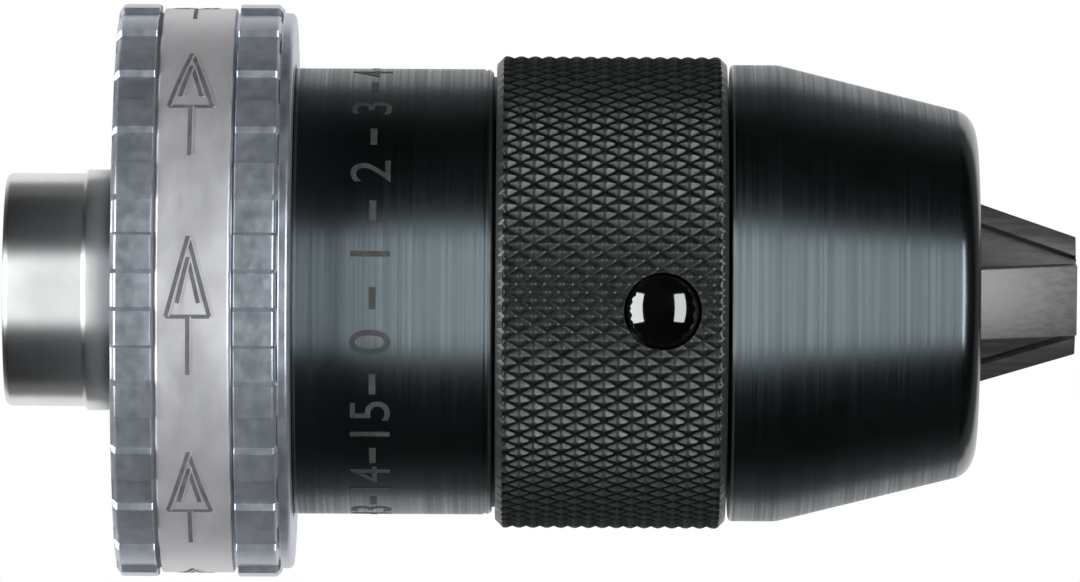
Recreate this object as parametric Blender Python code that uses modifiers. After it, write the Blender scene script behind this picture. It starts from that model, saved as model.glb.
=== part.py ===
"""Keyless drill chuck: a screw spindle pushes three jaws down a conical nose when the sleeve is turned.

The chuck's axis is X. The origin lies on that axis in the hub's rear face, and X grows towards the jaws.
Angles round the axis are "bearings": 0 is -Y, 90 is +Z. A bearing that falls is a turn about +X, which
opens the jaws. One that rises is the tightening turn.
"""
import math

import bmesh
import bpy
from mathutils import Matrix, Vector

MM = 0.001

# Clearances
FIT = 0.3 * MM                  # between two pieces that touch on the real chuck
THREAD_FIT = 0.4 * MM           # between the crests and the roots of the feed thread
EDGE = 0.4 * MM                 # chamfer on turned edges
JOIN = 0.5 * MM                 # how far a joined shape is sunk into the one it is joined to

# Feed: a coarse left-hand screw thread moves the spindle
LEAD = 3.0 * MM
OPENING_TURNS = 1500 / 360
THREAD_ROOT_R = 8.6 * MM        # of the spindle
THREAD_DEPTH = 1.6 * MM
RIDGE_ROOT_WIDTH = 1.4 * MM
RIDGE_CREST_WIDTH = 0.8 * MM
THREAD_TURNS = 7
THREAD_BEARING = 4              # degrees, where the threads start
SPINDLE_BORE_R = 3.3 * MM

# Chuck body, from the hub's rear face forward
HUB_R = 10.6 * MM
HUB_LENGTH = 10.3 * MM          # the bare length behind the hand ring
SEAT_R = 10.95 * MM             # where the hand ring sits
SEAT_START = 7.2 * MM
SOCKET_R = 5.75 * MM            # for the machine's threaded spindle
SOCKET_DEPTH = 13.5 * MM
SOCKET_MOUTH = 0.85 * MM
PARTITION = 4.0 * MM
PARTITION_HOLE_R = 3.4 * MM
BODY_WALL = 1.4 * MM            # round the feed thread
THREAD_RELIEF = 3.0 * MM
CLIP_GROOVE_DEPTH = 0.75 * MM
HEX_CORNER_R = 17.0 * MM
HEX_LENGTH = 4.0 * MM
SHOULDER_R = 14.0 * MM
SHOULDER_LENGTH = 3.6 * MM
COLLAR_LENGTH = 3.5 * MM

# Hand ring
RING_WALL = 5.0 * MM            # outside the rear sleeve, to the plain band
RING_CLEARANCE = 0.4 * MM
PAD_HEIGHT = 0.4 * MM           # the pads stand this much over the plain band
PAD_GAP_DEPTH = 0.5 * MM
PAD_COUNT = 24
CLIP_RECESS_R = 13.4 * MM
CLIP_RECESS = 2.1 * MM
RING_WEB = 1.9 * MM
REAR_BAND = 3.7 * MM
FRONT_BAND = 3.9 * MM
RING_LIP = 1.1 * MM             # laps over the rear sleeve
RING_LIP_DROP = 0.4 * MM

# Ring clip and felt seal
CLIP_THICKNESS = 0.9 * MM
CLIP_WIDTH = 2.4 * MM
CLIP_OPENING = 40               # degrees
SEAL_LENGTH = 2.4 * MM
SEAL_WIDTH = 3.8 * MM

# Thrust bearing
BEARING_WIDTH = 4.6 * MM        # radially, between the neck and the nose's bore
NECK_GAP = 0.6 * MM
RACE_THICKNESS = 0.9 * MM
BALL_R = 1.0 * MM
BALL_COUNT = 12
BALL_POCKET_GAP = 0.25 * MM
CAGE_THICKNESS = 1.1 * MM
NUT_LENGTH = 2.8 * MM
NUT_SLOTS = 4
NUT_SLOT_DEPTH = 1.1 * MM
NUT_SLOT_ANGLE = 12             # degrees

# Locking clutch
TOOTH_COUNT = 24
TOOTH_HEIGHT = 1.0 * MM
TOOTH_GAP_ANGLE = 1             # degrees between neighbouring teeth
LOCK_ANGLE = 20                 # degrees that the sleeve turns on the nose
LOCK_TRAVEL = 1.0 * MM
LOCK_RING_LENGTH = 2.0 * MM
LUG_COUNT = 3
LUG_HALF_ANGLE = 3              # degrees
LUG_GAP_ANGLE = 1
LUG_REACH = 0.4 * MM            # into the sleeve
LUG_INSET = 0.2 * MM
SPRING_HEIGHT = 1.2 * MM
SPRING_THICKNESS = 0.35 * MM
SPRING_WAVES = 4
SPRING_CLIP_THICKNESS = 0.8 * MM
SPRING_CLIP_WIDTH = 2.2 * MM
SPRING_CLIP_GROOVE = 0.5 * MM
SPRING_CLIP_OPENING = 30        # degrees

# Sleeves
SLEEVE_WALL = 1.4 * MM
SLEEVE_FLANGE_R = 14.2 * MM     # hole in the rear flange
SLEEVE_FLANGE = 1.8 * MM
SLEEVE_LAP = 4.0 * MM           # of the rear sleeve inside the knurled one
LAP_WALL = 0.7 * MM
SEAM_AHEAD = 1.4 * MM           # of the lock ring
KNURL_HEIGHT = 1.2 * MM         # over the rear sleeve
KNURL_BEVEL = 0.7 * MM

# Stop studs
STUD_COUNT = 3
STUD_BEARING = -4.6             # degrees
STUD_R = 3.25 * MM
STUD_FROM_SHOULDER = 6.2 * MM
STUD_DEPTH = 0.9 * MM           # into the nose
STUD_DOME_R = 5.0 * MM
STUD_PROUD = 0.4 * MM

# Nose
SPIGOT_WALL = 1.6 * MM
CAVITY_WALL = 3.4 * MM
SHOULDER_BACK = 0.6 * MM        # from the cavity's end to the nose's shoulder
NOSE_DROP = 0.7 * MM            # under the knurled sleeve
NOSE_CYLINDER = 4.3 * MM
CONE_LENGTH = 16.0 * MM
CONE_DROP = 4.0 * MM
CORNER_LENGTH = 2.2 * MM
CORNER_DROP = 2.9 * MM
NOSE_BORE_R = 5.5 * MM

# Spindle head
HEAD_LENGTH = 7.6 * MM
HEAD_GAP = 1.2 * MM             # to the nose's cavity wall
HEAD_WEB = 2.3 * MM             # behind the jaw slots
HEAD_PARKED_GAP = 0.5 * MM      # to the chuck body, jaws open
SHANK_BEHIND_THREAD = 2.0 * MM

# Jaws
JAW_COUNT = 3
JAW_BEARING = -7                # degrees
JAW_SLOPE = 0.375               # fall of the jaw's back along the axis
JAW_WIDTH = 6.4 * MM            # of the guide rib and the tail
JAW_WEB_WIDTH = 4.6 * MM
JAW_RIB = 1.8 * MM
JAW_REACH = 9.05 * MM           # ahead of the nose
JAW_TIP_R = 4.4 * MM
JAW_CAP_R = 10.8 * MM
JAW_RELIEF_R = 3.6 * MM
JAW_GRIP_LENGTH = 16.5 * MM
JAW_GRIP_EDGE_R = 0.35 * MM
JAW_FACE_GAP = 0.15 * MM        # from a jaw's face to the plane it meets its neighbour on
TAIL_THICKNESS = 2.2 * MM
TAIL_TOP_R = 9.4 * MM

STEPS = 32                      # round a turned shape
SMALL_STEPS = 16
THREAD_STEPS = 16               # to a turn
PROBE = 2.0 * MM                # how far a cutter stands clear of what it cuts

# Radii that follow, from the axis out
THREAD_CREST_R = THREAD_ROOT_R + THREAD_DEPTH
BODY_THREAD_MINOR_R = THREAD_ROOT_R + THREAD_FIT
BODY_THREAD_MAJOR_R = THREAD_CREST_R + THREAD_FIT
RELIEF_R = BODY_THREAD_MAJOR_R + FIT
NECK_R = RELIEF_R + BODY_WALL + 0.1 * MM
SPIGOT_BORE_R = NECK_R + BEARING_WIDTH
INNER_RING_R = SPIGOT_BORE_R - FIT          # outer radius of all that runs inside the nose's bore
RACE_BORE_R = NECK_R + NECK_GAP
SPIGOT_R = SPIGOT_BORE_R + SPIGOT_WALL
CAVITY_R = SPIGOT_R - CAVITY_WALL
HEAD_R = CAVITY_R - HEAD_GAP
SLEEVE_BORE_R = SPIGOT_R + FIT
SLEEVE_R = SLEEVE_BORE_R + SLEEVE_WALL
KNURL_R = SLEEVE_R + KNURL_HEIGHT
NOSE_R = KNURL_R - NOSE_DROP
RING_BORE_R = SLEEVE_R + RING_CLEARANCE
RING_R = RING_BORE_R + RING_WALL
CLIP_GROOVE_R = SEAT_R - CLIP_GROOVE_DEPTH
FEED = LEAD * OPENING_TURNS

# Places along the axis that follow, from the rear forward
SOCKET_END = SOCKET_DEPTH
BODY_BORE_START = SOCKET_END + PARTITION
RING_REAR = HUB_LENGTH
WEB_REAR = RING_REAR + CLIP_RECESS
WEB_FRONT = WEB_REAR + RING_WEB
CLIP_FRONT = WEB_REAR - FIT
CLIP_REAR = CLIP_FRONT - CLIP_THICKNESS
HEX_REAR = WEB_FRONT + FIT
HEX_FRONT = HEX_REAR + HEX_LENGTH
SEAL_REAR = HEX_FRONT + SHOULDER_LENGTH + FIT
SEAL_FRONT = SEAL_REAR + SEAL_LENGTH
SLEEVE_REAR = SEAL_FRONT + FIT
RING_FRONT = SLEEVE_REAR + RING_LIP
SPIGOT_REAR = SLEEVE_REAR + SLEEVE_FLANGE + FIT
NUT_FRONT = SPIGOT_REAR + NUT_LENGTH
REAR_RACE = NUT_FRONT + FIT
BALL_X = REAR_RACE + RACE_THICKNESS + FIT + BALL_R
FRONT_RACE = BALL_X + BALL_R + FIT
COLLAR_REAR = FRONT_RACE + RACE_THICKNESS + FIT
COLLAR_FRONT = COLLAR_REAR + COLLAR_LENGTH
TOOTH_TIPS = COLLAR_FRONT + TOOTH_HEIGHT
LOCK_TIPS = TOOTH_TIPS + FIT
LOCK_REAR = LOCK_TIPS + TOOTH_HEIGHT
LOCK_FRONT = LOCK_REAR + LOCK_RING_LENGTH
SPRING_REAR = LOCK_FRONT + FIT
SPRING_CLIP_REAR = SPRING_REAR + SPRING_HEIGHT + FIT
BODY_FRONT = SPRING_CLIP_REAR + SPRING_CLIP_THICKNESS
SPIGOT_STEP = BODY_FRONT + FIT + EDGE / 2
SEAM = LOCK_FRONT + SEAM_AHEAD
LAP_FRONT = SEAM + SLEEVE_LAP
HEAD_REAR = BODY_FRONT + HEAD_PARKED_GAP + FEED
HEAD_FRONT = HEAD_REAR + HEAD_LENGTH
CAVITY_END = HEAD_FRONT + FIT
NOSE_SHOULDER = CAVITY_END - SHOULDER_BACK
CONE_START = NOSE_SHOULDER + NOSE_CYLINDER
CORNER_START = CONE_START + CONE_LENGTH
NOSE_FRONT = CORNER_START + CORNER_LENGTH
JAW_TIP = NOSE_FRONT + JAW_REACH
STUD_X = NOSE_SHOULDER - STUD_FROM_SHOULDER
THREAD_START = BODY_BORE_START + THREAD_RELIEF / 2
SLOT_REAR = HEAD_REAR + HEAD_WEB
TAIL_REAR = SLOT_REAR + FIT
TAIL_FRONT = TAIL_REAR + TAIL_THICKNESS
SLOT_FRONT = TAIL_FRONT + FIT

# Lugs of the lock ring
LUG_BEARING = JAW_BEARING + 60
LUG_REAR = LOCK_REAR + LUG_INSET
LUG_FRONT = LOCK_FRONT - LUG_INSET
LUG_R = SLEEVE_BORE_R + LUG_REACH
POCKET_R = LUG_R + FIT
LUG_SLOT_HALF_ANGLE = LUG_HALF_ANGLE + LUG_GAP_ANGLE


# Scene and objects

def clear_scene():
    for obj in list(bpy.data.objects):
        bpy.data.objects.remove(obj, do_unlink=True)


def new_collection(name):
    collection = bpy.data.collections.new(name)
    bpy.context.scene.collection.children.link(collection)
    return collection


def new_object(name, mesh, collection):
    obj = bpy.data.objects.new(name, mesh)
    collection.objects.link(obj)
    return obj


def new_material(name, colour, metallic, roughness):
    made = bpy.data.materials.new(name)
    made.use_nodes = True
    shader = made.node_tree.nodes["Principled BSDF"]
    shader.inputs["Base Color"].default_value = (*colour, 1)
    shader.inputs["Metallic"].default_value = metallic
    shader.inputs["Roughness"].default_value = roughness
    return made


def helper(obj):
    """Keeps a cutter, or a shape to be joined, out of the model itself."""
    obj.hide_render = True
    obj.display_type = "WIRE"
    return obj


# Shapes

def facing(bearing):
    """Turns local Y to the bearing, and leaves X along the axis."""
    return Matrix.Rotation(math.radians(180 - bearing), 4, "X")


def at(x, radius, bearing):
    turn = math.radians(bearing)
    return Vector((x, -radius * math.cos(turn), radius * math.sin(turn)))


def spread(first, count):
    """Bearings of count equal places round the axis."""
    return [first + 360 * index / count for index in range(count)]


def area(outline):
    """Signed area inside a closed outline of (x, r) points."""
    following = outline[1:] + outline[:1]
    return sum(x * next_r - next_x * r for (x, r), (next_x, next_r) in zip(outline, following)) / 2


def turned(name, outline, collection, steps=STEPS):
    """A closed outline of (x, r) points, turned about the X axis."""
    if area(outline) < 0:
        outline = outline[::-1]
    mesh = bpy.data.meshes.new(name)
    count = len(outline)
    edges = [(index, (index + 1) % count) for index in range(count)]
    mesh.from_pydata([(x, -r, 0) for x, r in outline], edges, [])
    obj = new_object(name, mesh, collection)
    screw = obj.modifiers.new("Turn", "SCREW")
    screw.axis = "X"
    screw.steps = steps
    screw.render_steps = steps
    screw.use_merge_vertices = True
    screw.merge_threshold = 1e-6
    return obj


def ring_outline(rear, front, bore_r, outer_r, chamfer=0.0):
    if not chamfer:
        return [(rear, bore_r), (rear, outer_r), (front, outer_r), (front, bore_r)]
    return [
        (rear, bore_r),
        (rear, outer_r - chamfer),
        (rear + chamfer, outer_r),
        (front - chamfer, outer_r),
        (front, outer_r - chamfer),
        (front, bore_r),
    ]


def from_bmesh(name, bm, collection):
    bm.normal_update()
    bmesh.ops.recalc_face_normals(bm, faces=bm.faces)
    mesh = bpy.data.meshes.new(name)
    bm.to_mesh(mesh)
    bm.free()
    return new_object(name, mesh, collection)


def add_sector(bm, x_span, r_span, bearings, far_x_span=None):
    """A cube bent to fit between two bearings. far_x_span gives its ends at the second bearing."""
    spans = (x_span, far_x_span or x_span)
    for vertex in bmesh.ops.create_cube(bm, size=2)["verts"]:
        side, out, far = (int(value > 0) for value in vertex.co)
        vertex.co = at(spans[far][side], r_span[out], bearings[far])


def sectors(name, places, collection):
    """One object made of separate sectors, each a tuple of add_sector's arguments."""
    bm = bmesh.new()
    for place in places:
        add_sector(bm, *place)
    return from_bmesh(name, bm, collection)


def swept(name, section, bearing, sweep, rise, collection, steps_per_turn=STEPS):
    """A closed section of (x, r) points, swept by an angle in degrees while it moves rise along the axis."""
    bm = bmesh.new()
    corners = [bm.verts.new(at(x, r, bearing)) for x, r in section]
    edges = [bm.edges.new((corners[index - 1], corners[index])) for index in range(len(corners))]
    steps = max(2, round(abs(sweep) * steps_per_turn / 360))
    bmesh.ops.spin(
        bm,
        geom=corners + edges,
        cent=(0, 0, 0),
        axis=(-1, 0, 0),
        dvec=(rise / steps, 0, 0),
        angle=math.radians(sweep),
        steps=steps,
    )
    bmesh.ops.holes_fill(bm, edges=[edge for edge in bm.edges if edge.is_boundary])
    return from_bmesh(name, bm, collection)


def prism(name, radius, sides, rear, front, collection):
    """A bar along the axis with a corner at bearing 0."""
    bm = bmesh.new()
    bmesh.ops.create_cone(
        bm, cap_ends=True, segments=sides, radius1=radius, radius2=radius, depth=front - rear,
    )
    lay = Matrix.Translation(((rear + front) / 2, 0, 0)) @ Matrix.Rotation(math.pi / 2, 4, "Y")
    bmesh.ops.transform(bm, matrix=lay, verts=bm.verts)
    return from_bmesh(name, bm, collection)


def plate(name, outline, width, collection):
    """A flat plate in the plane of X and Y, centred on Z, from an outline of (x, y) points."""
    curve = bpy.data.curves.new(name, "CURVE")
    curve.dimensions = "2D"
    curve.fill_mode = "BOTH"
    curve.extrude = width / 2
    spline = curve.splines.new("POLY")
    spline.points.add(len(outline) - 1)
    for point, (x, y) in zip(spline.points, outline):
        point.co = (x, y, 0, 1)
    spline.use_cyclic_u = True
    drawn = new_object(name, curve, collection)
    bpy.context.view_layer.update()
    bm = bmesh.new()
    flat = bpy.data.meshes.new_from_object(drawn.evaluated_get(bpy.context.evaluated_depsgraph_get()))
    bm.from_mesh(flat)
    bpy.data.meshes.remove(flat)
    bpy.data.objects.remove(drawn)
    bpy.data.curves.remove(curve)
    bmesh.ops.remove_doubles(bm, verts=bm.verts, dist=1e-7)
    return from_bmesh(name, bm, collection)


def box(name, low, high, collection):
    bm = bmesh.new()
    made = bmesh.ops.create_cube(bm, size=1)["verts"]
    size = Vector(high) - Vector(low)
    bmesh.ops.scale(bm, vec=size, verts=made)
    bmesh.ops.translate(bm, vec=Vector(low) + size / 2, verts=made)
    return from_bmesh(name, bm, collection)


def combine(obj, other, operation):
    modifier = obj.modifiers.new(other.name, "BOOLEAN")
    modifier.operation = operation
    modifier.solver = "EXACT"
    modifier.object = helper(other)


def cut(obj, *others):
    for other in others:
        combine(obj, other, "DIFFERENCE")


def join(obj, *others):
    for other in others:
        combine(obj, other, "UNION")


def settle(obj, material):
    """Turns the modifiers into mesh, shades it and gives it its material."""
    bpy.context.view_layer.update()
    graph = bpy.context.evaluated_depsgraph_get()
    mesh = bpy.data.meshes.new_from_object(obj.evaluated_get(graph))
    mesh.name = obj.name
    obj.modifiers.clear()
    obj.data = mesh
    mesh.materials.clear()
    mesh.materials.append(material)
    mesh.shade_smooth()
    mesh.set_sharp_from_angle(angle=math.radians(35))
    return obj


def copies(obj, names, placements):
    """The object itself at the first placement, and one more object with the same mesh at each other one."""
    made = [obj]
    for name in names[1:]:
        made.append(new_object(name, obj.data, obj.users_collection[0]))
    for piece, placement in zip(made, placements):
        piece.matrix_world = placement
    return made


def numbered(name, count, digits=1):
    return [f"{name}_{index + 1:0{digits}d}" for index in range(count)]


# Chuck body and what is fixed to it

def tooth_sectors(low, high, direction):
    """Saw teeth between two planes. direction is +1 for teeth that point forward and -1 for rearward ones."""
    pitch = 360 / TOOTH_COUNT
    radii = (RACE_BORE_R + FIT, INNER_RING_R - FIT)
    places = []
    for middle in spread(0, TOOTH_COUNT):
        bearings = (middle + (pitch - TOOTH_GAP_ANGLE) / 2, middle - (pitch - TOOTH_GAP_ANGLE) / 2)
        if direction > 0:
            near, far = (low - JOIN, high), (low - JOIN, low + TOOTH_HEIGHT / 10)
        else:
            near, far = (high - TOOTH_HEIGHT / 10, high + JOIN), (low, high + JOIN)
        places.append((near, radii, bearings, far))
    return places


def thread_section(start, grow, root_r, crest_r):
    """The ridge's section, wider by grow on each flank."""
    root = RIDGE_ROOT_WIDTH / 2 + grow
    crest = RIDGE_CREST_WIDTH / 2 + grow
    return [(start - root, root_r), (start - crest, crest_r), (start + crest, crest_r), (start + root, root_r)]


def make_chuck_body(parts, cutters, material):
    socket_lip = SOCKET_R + SOCKET_MOUTH
    body = turned(
        "chuck_body",
        [
            (0, socket_lip),
            (0, HUB_R - EDGE),
            (EDGE, HUB_R),
            (SEAT_START, HUB_R),
            (SEAT_START + SEAT_R - HUB_R, SEAT_R),
            (CLIP_REAR - FIT, SEAT_R),
            (CLIP_REAR - FIT, CLIP_GROOVE_R),
            (CLIP_FRONT + FIT / 2, CLIP_GROOVE_R),
            (CLIP_FRONT + FIT / 2, SEAT_R),
            (HEX_REAR + HEX_LENGTH / 4, SEAT_R),
            (HEX_REAR + HEX_LENGTH / 4, SHOULDER_R),
            (HEX_FRONT + SHOULDER_LENGTH, SHOULDER_R),
            (HEX_FRONT + SHOULDER_LENGTH, NECK_R),
            (COLLAR_REAR, NECK_R),
            (COLLAR_REAR, INNER_RING_R),
            (COLLAR_FRONT, INNER_RING_R),
            (COLLAR_FRONT, NECK_R),
            (BODY_FRONT - EDGE, NECK_R),
            (BODY_FRONT, NECK_R - EDGE),
            (BODY_FRONT, BODY_THREAD_MINOR_R),
            (BODY_BORE_START + THREAD_RELIEF, BODY_THREAD_MINOR_R),
            (BODY_BORE_START + THREAD_RELIEF, RELIEF_R),
            (BODY_BORE_START, RELIEF_R),
            (BODY_BORE_START, PARTITION_HOLE_R),
            (SOCKET_END, PARTITION_HOLE_R),
            (SOCKET_END, SOCKET_R),
            (SOCKET_MOUTH, SOCKET_R),
        ],
        parts,
    )
    turns = math.ceil((BODY_FRONT - THREAD_START) / LEAD) + 1
    section = thread_section(THREAD_START, FIT, BODY_THREAD_MINOR_R - JOIN, BODY_THREAD_MAJOR_R)
    groove = swept("body_thread", section, THREAD_BEARING, 360 * turns, LEAD * turns, cutters, THREAD_STEPS)
    join(body, prism("body_hexagon", HEX_CORNER_R, 6, HEX_REAR, HEX_FRONT, cutters))
    join(body, sectors("body_teeth", tooth_sectors(COLLAR_FRONT, TOOTH_TIPS, 1), cutters))
    cut(body, groove)
    return settle(body, material)


def make_grip_ring(parts, cutters, material):
    pad_r = RING_R + PAD_HEIGHT
    lip_start = RING_FRONT - RING_LIP
    bore_r = SEAT_R + FIT
    ring = turned(
        "grip_ring",
        [
            (RING_REAR, CLIP_RECESS_R),
            (RING_REAR, pad_r - EDGE),
            (RING_REAR + EDGE, pad_r),
            (RING_REAR + REAR_BAND, pad_r),
            (RING_REAR + REAR_BAND, RING_R),
            (lip_start - FRONT_BAND, RING_R),
            (lip_start - FRONT_BAND, pad_r),
            (lip_start, pad_r),
            (lip_start, RING_R - RING_LIP_DROP),
            (RING_FRONT, RING_R - RING_LIP_DROP),
            (RING_FRONT, RING_BORE_R),
            (HEX_FRONT + FIT, RING_BORE_R),
            (HEX_FRONT + FIT, bore_r),
            (WEB_REAR, bore_r),
            (WEB_REAR, CLIP_RECESS_R),
        ],
        parts,
    )
    half_gap = 90 / PAD_COUNT
    gap_radii = (pad_r - PAD_GAP_DEPTH, pad_r + PROBE)
    bands = [
        (RING_REAR - PROBE, RING_REAR + REAR_BAND + JOIN / 5),
        (lip_start - FRONT_BAND - JOIN / 5, lip_start + JOIN / 5),
    ]
    gaps = [
        (band, gap_radii, (middle - half_gap, middle + half_gap))
        for band in bands
        for middle in spread(0, PAD_COUNT)
    ]
    pocket_r = HEX_CORNER_R + FIT / math.cos(math.pi / 6)
    cut(ring, prism("ring_hexagon", pocket_r, 6, WEB_FRONT, HEX_FRONT + FIT + PROBE, cutters))
    cut(ring, sectors("ring_gaps", gaps, cutters))
    return settle(ring, material)


def make_split_ring(name, rear, thickness, radii, opening, parts, cutters, material):
    """A C-shaped retaining ring, open at the bottom."""
    ring = turned(name, ring_outline(rear, rear + thickness, *radii), parts)
    wedge = ((rear - PROBE, rear + thickness + PROBE), (radii[0] - PROBE, radii[1] + PROBE))
    cut(ring, sectors(name + "_opening", [(*wedge, (-90 - opening / 2, -90 + opening / 2))], cutters))
    return settle(ring, material)


def make_felt_seal(parts, material):
    bore_r = NECK_R + FIT
    seal = turned("felt_seal", ring_outline(SEAL_REAR, SEAL_FRONT, bore_r, bore_r + SEAL_WIDTH, EDGE), parts)
    return settle(seal, material)


# Thrust bearing

def make_race(name, rear, parts, material):
    outline = ring_outline(rear, rear + RACE_THICKNESS, RACE_BORE_R, INNER_RING_R)
    return settle(turned(name, outline, parts), material)


def make_thrust_nut(parts, cutters, material):
    nut = turned("thrust_nut", ring_outline(SPIGOT_REAR, NUT_FRONT, RACE_BORE_R, INNER_RING_R, EDGE), parts)
    depth = (SPIGOT_REAR - PROBE, SPIGOT_REAR + NUT_SLOT_DEPTH)
    radii = (RACE_BORE_R - PROBE / 2, INNER_RING_R + PROBE)
    slots = [
        (depth, radii, (middle - NUT_SLOT_ANGLE / 2, middle + NUT_SLOT_ANGLE / 2))
        for middle in spread(0, NUT_SLOTS)
    ]
    cut(nut, sectors("nut_slots", slots, cutters))
    return settle(nut, material)


def make_ball_cage(parts, cutters, material):
    bore_r = NECK_R + BALL_POCKET_GAP * 2
    half = CAGE_THICKNESS / 2
    cage = turned("ball_cage", ring_outline(BALL_X - half, BALL_X + half, bore_r, INNER_RING_R), parts)
    for name, bearing in zip(numbered("ball_pocket", BALL_COUNT, 2), spread(0, BALL_COUNT)):
        reach = half + PROBE
        pocket = prism(name, BALL_R + BALL_POCKET_GAP, SMALL_STEPS, BALL_X - reach, BALL_X + reach, cutters)
        pocket.location = at(0, (bore_r + INNER_RING_R) / 2, bearing)
        cut(cage, pocket)
    return settle(cage, material)


def make_balls(parts, material):
    pitch_r = (NECK_R + BALL_POCKET_GAP * 2 + INNER_RING_R) / 2
    bpy.ops.mesh.primitive_ico_sphere_add(subdivisions=2, radius=BALL_R)
    ball = bpy.context.object
    ball.users_collection[0].objects.unlink(ball)
    parts.objects.link(ball)
    names = numbered("ball", BALL_COUNT, 2)
    ball.name = names[0]
    settle(ball, material)
    places = [Matrix.Translation(at(BALL_X, pitch_r, bearing)) for bearing in spread(0, BALL_COUNT)]
    return copies(ball, names, places)


# Nose and locking clutch

def back_line(x, offset=0.0):
    """Distance from the axis of the jaw's sloping back, moved out by offset at right angles to it."""
    return JAW_TIP_R + JAW_SLOPE * (JAW_TIP - x) + offset * math.hypot(1, JAW_SLOPE)


def sloping_outline(rear, front, inner_offset, outer_offset):
    return [
        (rear, back_line(rear, inner_offset)),
        (front, back_line(front, inner_offset)),
        (front, back_line(front, outer_offset)),
        (rear, back_line(rear, outer_offset)),
    ]


def jaw_channels(cutters):
    """The T-shaped channels that the jaws slide in, and the grooves that clear them in the cavity's wall."""
    rear = CAVITY_END - FIT
    front = NOSE_FRONT + PROBE
    groove_top = JAW_CAP_R + FEED * JAW_SLOPE + 2 * FIT
    groove_rear = CAVITY_END - FEED - 2 * FIT
    web_floor = JAW_RELIEF_R - 2 * FIT
    web = [
        (rear, web_floor),
        (rear, back_line(rear, -JAW_RIB)),
        (front, back_line(front, -JAW_RIB)),
        (front, web_floor),
    ]
    groove = [
        (groove_rear, CAVITY_R - PROBE),
        (groove_rear, groove_top),
        (CAVITY_END + FIT, groove_top),
        (CAVITY_END + FIT, CAVITY_R - PROBE),
    ]
    rib = sloping_outline(rear, front, -JAW_RIB - FIT, FIT)
    shapes = []
    for number, bearing in enumerate(spread(JAW_BEARING, JAW_COUNT), 1):
        made = [
            plate(f"rib_channel_{number}", rib, JAW_WIDTH + 2 * FIT, cutters),
            plate(f"web_channel_{number}", web, JAW_WEB_WIDTH + 2 * FIT, cutters),
            plate(f"cavity_groove_{number}", groove, JAW_WIDTH + 3 * FIT, cutters),
        ]
        for shape in made:
            shape.matrix_world = facing(bearing)
        shapes += made
    return shapes


def stud_slots(cutters):
    """Slots in the nose's spigot in which the studs shift as the sleeve turns to lock."""
    end = math.degrees(math.asin(STUD_R / SPIGOT_R)) + LUG_GAP_ANGLE
    half = STUD_R + FIT
    floor_r = SPIGOT_R - STUD_DEPTH - FIT
    rim_r = SPIGOT_R + PROBE
    section = [
        (STUD_X - half, floor_r),
        (STUD_X - half, rim_r),
        (STUD_X + half, rim_r),
        (STUD_X + half, floor_r),
    ]
    return [
        swept(name, section, bearing - end, LOCK_ANGLE + 2 * end, 0, cutters)
        for name, bearing in zip(numbered("stud_slot", STUD_COUNT), spread(STUD_BEARING, STUD_COUNT))
    ]


def corner_arc(steps=5):
    """The nose's rounded front corner, from the cone to the front face."""
    for index in range(steps + 1):
        turn = math.pi / 2 * index / steps
        x = CORNER_START + CORNER_LENGTH * math.sin(turn)
        yield x, NOSE_R - CONE_DROP - CORNER_DROP * (1 - math.cos(turn))


def make_nose(parts, cutters, material):
    groove_rear = SPRING_CLIP_REAR - FIT / 2
    groove_front = SPRING_CLIP_REAR + SPRING_CLIP_THICKNESS + FIT / 2
    groove_r = SPIGOT_BORE_R + SPRING_CLIP_GROOVE
    nose = turned(
        "nose",
        [
            (SPIGOT_REAR, SPIGOT_BORE_R),
            (SPIGOT_REAR, SPIGOT_R),
            (NOSE_SHOULDER, SPIGOT_R),
            (NOSE_SHOULDER, NOSE_R - EDGE),
            (NOSE_SHOULDER + EDGE, NOSE_R),
            (CONE_START, NOSE_R),
            *corner_arc(),
            (NOSE_FRONT, NOSE_BORE_R + EDGE),
            (NOSE_FRONT - EDGE, NOSE_BORE_R),
            (CAVITY_END, NOSE_BORE_R),
            (CAVITY_END, CAVITY_R),
            (SPIGOT_STEP, CAVITY_R),
            (SPIGOT_STEP, SPIGOT_BORE_R),
            (groove_front, SPIGOT_BORE_R),
            (groove_front, groove_r),
            (groove_rear, groove_r),
            (groove_rear, SPIGOT_BORE_R),
        ],
        parts,
    )
    lug_run = (SPIGOT_REAR - PROBE, LUG_FRONT + FIT)
    lug_radii = (SPIGOT_BORE_R - 2 * JOIN, SPIGOT_R + PROBE)
    for name, middle in zip(numbered("lug_slot", LUG_COUNT), spread(LUG_BEARING, LUG_COUNT)):
        bearings = (middle - LUG_SLOT_HALF_ANGLE, middle + LUG_SLOT_HALF_ANGLE)
        cut(nose, sectors(name, [(lug_run, lug_radii, bearings)], cutters))
    cut(nose, *stud_slots(cutters), *jaw_channels(cutters))
    return settle(nose, material)


def make_lock_ring(parts, cutters, material):
    ring = turned("lock_ring", ring_outline(LOCK_REAR, LOCK_FRONT, RACE_BORE_R, INNER_RING_R), parts)
    lugs = [
        (
            (LUG_REAR, LUG_FRONT),
            (INNER_RING_R - JOIN, LUG_R),
            (middle - LUG_HALF_ANGLE, middle + LUG_HALF_ANGLE),
        )
        for middle in spread(LUG_BEARING, LUG_COUNT)
    ]
    join(ring, sectors("lock_teeth", tooth_sectors(LOCK_TIPS, LOCK_REAR, -1), cutters))
    join(ring, sectors("lock_lugs", lugs, cutters))
    return settle(ring, material)


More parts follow.
